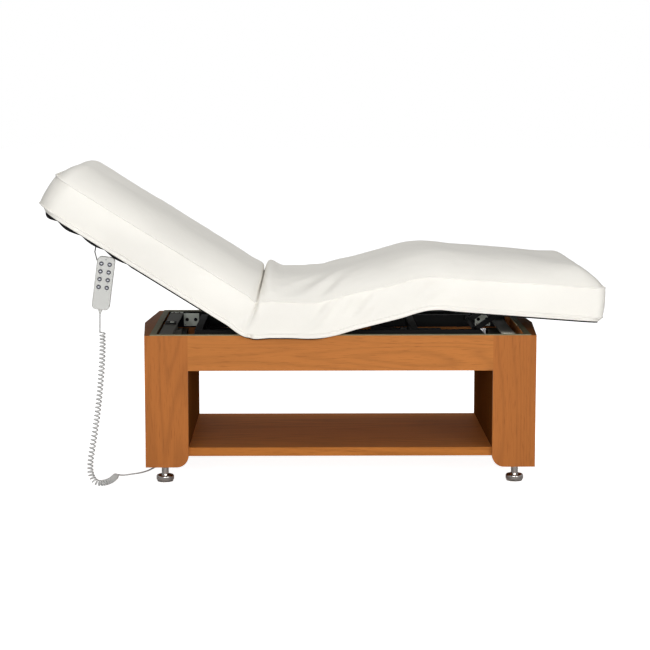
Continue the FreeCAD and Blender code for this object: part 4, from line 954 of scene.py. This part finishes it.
def dust_cover(x, y):
    """The section of a thin black cloth band that hangs in shallow scallops under the hem."""
    back = 1.0 - ease_over(x, -790.0, 60.0)
    band = (1.0 - back) * (1.0 - ease_over(x, -500.0, 120.0))
    seat = ease_over(x, -350.0, 60.0) * (1.0 - ease_over(x, -90.0, 60.0))
    foot = ease_over(x, 705.0, 20.0) * (1.0 - ease_over(x, 815.0, 20.0))
    head = 1.0 - ease_over(x, HEAD_END + 110.0, 60.0)
    along_edge = x if abs(y) > HALF_WIDTH - HEAD_CORNER - 30.0 else y
    scallop = abs(math.sin(along_edge * math.pi / SCALLOP_LENGTH - SCALLOP_START)) ** 0.8
    drop = 0.6 + (8.0 + 3.0 * head) * back * scallop
    drop += 4.2 * band + 3.0 * seat + 4.5 * foot - hem_lift(x)
    tuck = end_tuck(x, HEM_LEVEL)
    low = HEM_LEVEL - drop
    section = [(-5.5, 515.0), (-5.0, 508.0), (-6.0, low), (-7.4, low), (-8.0, 515.0)]
    return [(inset - tuck, z) for inset, z in section]


# The three pieces that the mattress is cut into, from the head end
BEND_MARK_LEVEL = 575.0
END_MARGIN = 50.0
SECTION_NAMES = ["back", "lap", "legs"]
CUTS = [
    (HEAD_END - END_MARGIN, SEAT_CUT),
    (SEAT_CUT, THIGH_CUT),
    (THIGH_CUT, FOOT_END + END_MARGIN),
]


def bend_ends(hinge_x, before, after):
    """Two points of the resting mattress that mark where a bend starts and ends."""
    marks = (hinge_x - before, hinge_x + after)
    return [place(*bent(x, 0.0, BEND_MARK_LEVEL)) for x in marks]


# The bodies on both sides of each bend, and where it starts and ends
BEND_ENDS = [
    ("back", "bed", *bend_ends(BACK_HINGE_X, 64.0, 58.0)),
    ("bed", "thigh", *bend_ends(THIGH_HINGE_X, 108.0, 112.0)),
    ("thigh", "calf", *bend_ends(KNEE_X, 102.0, 102.0)),
]


def add_sections(name, shape, material):
    """Split a flat-numbered mesh at the two cuts and bend each part across its own joint."""
    pieces = []
    for section, (low, high), (first, second, start, end) in zip(SECTION_NAMES, CUTS, BEND_ENDS):
        piece = from_bmesh(f"{section}_{name}", cut_piece(shape, low, high), material, None)
        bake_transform(piece, first, second, start, end)
        pieces.append(piece)
    shape.free()
    return pieces


cover = add_sections("mattress", mattress_shape(), LEATHER)
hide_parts("back_pad", "back_border", "back_fold")
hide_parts("seat_pad", "seat_border", "lap_fold")
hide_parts("thigh_pad", "thigh_border", "knee_fold", "calf_pad", "calf_border")
add_sections("upper_piping", edge_band(upper_piping), PIPING)
add_sections("lower_piping", edge_band(lower_piping), PIPING)
add_sections("dust_cover", edge_band(dust_cover), DUST_CLOTH)

# Small hardware inside the cabinet, with sizes in millimetres
BAR_SIDES = 20
WASHER_SIDES = 24
BOLT_SEAT, BOLT_RIM, BOLT_DOME = 0.6, 2.2, 1.6
BOLT_TOP_SHARE = 0.62
WASHER_THICKNESS = 0.8
UPWARDS = (0, 0, 1)
FORWARDS = (0, -1, 0)


def add_bar(shape, start, end, radius, end_radius):
    """A closed round bar or cone between two points, added to a bmesh."""
    ahead = (end - start).normalized()
    aside = Vector((0.0, 0.0, 1.0)) if abs(ahead.z) < 0.9 else Vector((1.0, 0.0, 0.0))
    aside = (aside - ahead * aside.dot(ahead)).normalized()
    third = ahead.cross(aside)
    first = add_ring(shape, start, aside, third, radius, BAR_SIDES)
    last = add_ring(shape, end, aside, third, end_radius, BAR_SIDES)
    join_rings(shape, first, last)
    close_ends(shape, first, last)


def bolt(name, head, direction, radius):
    """A dome-headed bolt whose head stands on a surface, facing one direction."""
    shape = bmesh.new()
    direction = Vector(direction)
    seat = head - direction * BOLT_SEAT * MM
    rim = head + direction * BOLT_RIM * MM
    crown = rim + direction * BOLT_DOME * MM
    add_bar(shape, seat, rim, radius * MM, radius * MM)
    add_bar(shape, rim, crown, radius * MM, radius * BOLT_TOP_SHARE * MM)
    return from_bmesh(name, shape, CHROME, "base", False)


def washer(name, centre, outer, inner, material):
    """A flat ring against a face that looks towards the front."""
    shape = bmesh.new()
    thick = WASHER_THICKNESS
    rings = []
    for radius, out in ((outer, 0.0), (outer, thick), (inner, thick), (inner, 0.0)):
        ring = []
        for k in range(WASHER_SIDES):
            angle = 2 * math.pi * k / WASHER_SIDES
            offset = Vector((radius * math.cos(angle), -out, radius * math.sin(angle))) * MM
            ring.append(shape.verts.new(centre + offset))
        rings.append(ring)
    for first, second in zip(rings, rings[1:] + rings[:1]):
        join_rings(shape, first, second)
    return from_bmesh(name, shape, material, "base", False)


def cuboid(name, low, high, material, bevel=0.6):
    """A block with lightly broken edges between two corners."""
    low, high = place(*low), place(*high)
    shape = bmesh.new()
    bmesh.ops.create_cube(shape, size=1.0)
    bmesh.ops.scale(shape, vec=high - low, verts=shape.verts)
    bmesh.ops.translate(shape, vec=(low + high) / 2, verts=shape.verts)
    bmesh.ops.bevel(shape, geom=shape.edges[:], offset=bevel * MM, segments=2, affect="EDGES")
    return from_bmesh(name, shape, material, "base", False)


# The clamp on the head strap: a black block, its zinc saddle and two bolts
CLAMP_X = -590.5
CLAMP_LOW, CLAMP_TOP, SADDLE_TOP = 508.1, 513.5, 515
cuboid("clamp_block", (CLAMP_X - 21, -22, CLAMP_LOW), (CLAMP_X + 17, 26, CLAMP_TOP), BLACK)
cuboid("clamp_saddle", (CLAMP_X - 3, -14, CLAMP_TOP), (CLAMP_X + 11, 6, SADDLE_TOP), ZINC)
bolt("clamp_bolt_front", place(CLAMP_X + 4, -8, SADDLE_TOP), UPWARDS, 3.6)
bolt("clamp_bolt_rear", place(CLAMP_X - 10, 16, CLAMP_TOP), UPWARDS, 3.6)

# The strap's end plate and bolts, and two eyelets in the rear rail
RAIL_FACE_Y = 311.9
cuboid("strap_end_plate", (-612, 309.5, 508.1), (-568, RAIL_FACE_Y, 510.9), ZINC, 0.3)
for number, x in enumerate((-600.0, -580.0), 1):
    bolt(f"strap_bolt_{number}", place(x, 296, 508), UPWARDS, 4.4)
for number, (x, z) in enumerate(((-462.5, 487.0), (388.0, 490.0)), 1):
    washer(f"rail_eyelet_{number}", place(x, RAIL_FACE_Y, z), 7.5, 4.6, GREY_STEEL)

# Screw heads at the rail plates' lower corners
for number, x in enumerate((-560.0, -515.0, 515.0, 560.0), 1):
    bolt(f"plate_screw_{number}", place(x, 308.0, 464.5), FORWARDS, 2.4)

# Spare loops of the motor leads, tucked up under the rear rail
LEAD_RADIUS = 1.7 * MM
LOOPS = [
    [
        (-502, 322, 456),
        (-500, 318, 446),
        (-486, 314, 437),
        (-462, 312, 434),
        (-438, 316, 441),
        (-434, 322, 456),
    ],
    [
        (-486, 320, 456),
        (-483, 314, 447),
        (-468, 310, 441),
        (-444, 309, 438),
        (-420, 314, 443),
        (-415, 320, 456),
    ],
    [
        (-468, 318, 456),
        (-464, 311, 449),
        (-450, 307, 444),
        (-432, 306, 441),
        (-408, 311, 446),
        (-404, 318, 456),
    ],
]
for number, points in enumerate(LOOPS, 1):
    loop_line = curve_points(f"lead loop {number}", points)
    wire_tube(f"lead_loop_{number}", loop_line, LEAD_RADIUS, LEAD, "base")

# Details of the handset, placed on its leaning face in millimetres
face_low, face_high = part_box("handset_front_shell")
HANDSET_MIDDLE = (Vector(face_low) + Vector(face_high)) / 2
HANDSET_FRONT = face_low[1]
HANDSET_LEAN = math.radians(7.7)
LEAN_COS, LEAN_SIN = math.cos(HANDSET_LEAN), math.sin(HANDSET_LEAN)
OVAL_SIDES = 20


def on_face(across, up, out):
    """A point on the handset's face, from millimetres across and up from its centre."""
    x = HANDSET_MIDDLE.x + (across * LEAN_COS + up * LEAN_SIN) * MM
    z = HANDSET_MIDDLE.z + (up * LEAN_COS - across * LEAN_SIN) * MM
    return Vector((x, HANDSET_FRONT - out * MM, z))


def face_place(node):
    """Where a node's centre lies on the face, in millimetres across and up."""
    x, _, z = middle(node)
    dx = (x - HANDSET_MIDDLE.x) / MM
    dz = (z - HANDSET_MIDDLE.z) / MM
    return dx * LEAN_COS - dz * LEAN_SIN, dx * LEAN_SIN + dz * LEAN_COS


def face_plate(name, outline, low, high, material, body):
    """A thin flat piece with the given outline, standing from one depth out to another."""
    shape = bmesh.new()
    back = [shape.verts.new(on_face(a, b, low)) for a, b in outline]
    front = [shape.verts.new(on_face(a, b, high)) for a, b in outline]
    shape.faces.new(back)
    shape.faces.new(list(reversed(front)))
    join_rings(shape, back, front)
    return from_bmesh(name, shape, material, body, False)


def oval(across, up, half_width, half_height):
    """The outline of an oval round a point of the face."""
    angles = [2 * math.pi * k / OVAL_SIDES for k in range(OVAL_SIDES)]
    return [(across + half_width * math.cos(a), up + half_height * math.sin(a)) for a in angles]


# A pale mark on each key, and a small printed arrow under it that points its way
MARK_WIDTH, MARK_HEIGHT = 3.6, 2.2
MARK_SINK, MARK_RISE = 0.1, 0.35
ARROW_DROP, ARROW_SIZE, ARROW_DEPTH = 11.0, 1.6, 0.12
for key in key_names:
    across, up = face_place(key)
    top = (HANDSET_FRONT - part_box(key)[0][1]) / MM
    outline = oval(across, up, MARK_WIDTH, MARK_HEIGHT)
    face_plate(f"{key}_mark", outline, top - MARK_SINK, top + MARK_RISE, KEY_MARK, key)
    way = 1.0 if key.endswith("up") else -1.0
    level = up - ARROW_DROP
    feet = level - way
    tip = level + ARROW_SIZE * way
    arrow = [(across - ARROW_SIZE, feet), (across + ARROW_SIZE, feet), (across, tip)]
    face_plate(f"{key}_arrow", arrow, 0.0, ARROW_DEPTH, PRINT, "back")

LAMP_UP, LAMP_RADIUS, LAMP_DEPTH = 80.0, 2.0, 0.5
lamp_outline = oval(0.0, LAMP_UP, LAMP_RADIUS, LAMP_RADIUS)
face_plate("lamp_lens", lamp_outline, 0.0, LAMP_DEPTH, LENS, "back")

# Floor, light and camera
FLOOR_TONE = 0.8
FLOOR_SIZE = 30.0
DAYLIGHT = 0.26
GLOSS_SHARE = 0.2
SHADOW_DEPTH = 0.4


def add_floor():
    """A pale floor that glows to the camera, so that only soft shadows show on it."""
    shape = bmesh.new()
    bmesh.ops.create_grid(shape, x_segments=1, y_segments=1, size=FLOOR_SIZE)
    mesh = bpy.data.meshes.new("floor")
    shape.to_mesh(mesh)
    shape.free()
    shader = Shader("pale floor", (FLOOR_TONE,) * 3, 0.8)
    seen = shader.add("ShaderNodeLightPath")
    strength = seen * (1.0 - SHADOW_DEPTH * FLOOR_TONE * DAYLIGHT)
    glow = shader.add("ShaderNodeEmission", {}, {"Strength": strength})
    lit = Socket(shader, shader.main.outputs[0])
    both = shader.add("ShaderNodeAddShader", {}, {0: lit, 1: glow})
    shader.connect(shader.tree.nodes["Material Output"].inputs["Surface"], both)
    floor = bpy.data.objects.new("floor", mesh)
    bpy.context.scene.collection.objects.link(floor)
    mesh.materials.append(shader.material)


add_floor()


def add_area(name, location, target, size, power):
    """A rectangular light in metres that shines on a target."""
    light = bpy.data.lights.new(name, "AREA")
    light.shape = "RECTANGLE"
    light.size, light.size_y = size
    light.energy = power
    lamp = bpy.data.objects.new(name, light)
    lamp.location = location
    lamp.rotation_euler = (Vector(target) - Vector(location)).to_track_quat("-Z", "Y").to_euler()
    bpy.context.scene.collection.objects.link(lamp)
    return lamp


add_area("front light", (-0.4, -5.2, 1.6), (0.0, 0.0, 0.6), (3.0, 1.5), 118.0)
add_area("side light", (3.0, -4.9, 1.3), (0.0, 0.0, 0.5), (1.6, 1.6), 60.0)
add_area("top light", (-0.3, 0.6, 4.4), (0.0, 0.0, 0.5), (4.0, 3.0), 62.0)

# A weak light inside the cabinet, on the rear apron
inner_place, inner_target = place(260.0, -150.0, 500.0), place(200.0, 330.0, 430.0)
inner = add_area("inner light", inner_place, inner_target, (0.7, 0.02), 0.6)
inner.visible_camera = False

# White to the camera, dimmer as light on the part and in its reflections
world = bpy.data.worlds.new("studio")
world.use_nodes = True
bpy.context.scene.world = world
tree = world.node_tree
background = tree.nodes["Background"]
background.inputs["Color"].default_value = (1.0, 1.0, 1.0, 1.0)
rays = tree.nodes.new("ShaderNodeLightPath")
shown = tree.nodes.new("ShaderNodeMath")
shown.operation = "MULTIPLY_ADD"
shown.inputs[1].default_value = GLOSS_SHARE
tree.links.new(rays.outputs["Is Glossy Ray"], shown.inputs[0])
tree.links.new(rays.outputs["Is Camera Ray"], shown.inputs[2])
strength = tree.nodes.new("ShaderNodeMapRange")
strength.inputs["To Min"].default_value = DAYLIGHT
strength.inputs["To Max"].default_value = 1.0
tree.links.new(shown.outputs[0], strength.inputs["Value"])
tree.links.new(strength.outputs["Result"], background.inputs["Strength"])

# The camera, fitted to the photo: it looks a little down and a little to its right
CAMERA_DIP, CAMERA_TURN = 0.129, 0.01179
camera_data = bpy.data.cameras.new("camera")
camera_data.sensor_width = 36.0
camera_data.lens = 105.4
camera = bpy.data.objects.new("camera", camera_data)
camera.location = place(-126.8, -6663.0, 1366.0)
camera.rotation_euler = (math.pi / 2 - CAMERA_DIP, 0.0, -CAMERA_TURN)
bpy.context.scene.collection.objects.link(camera)
bpy.context.scene.camera = camera
bpy.context.scene.view_settings.view_transform = "Standard"
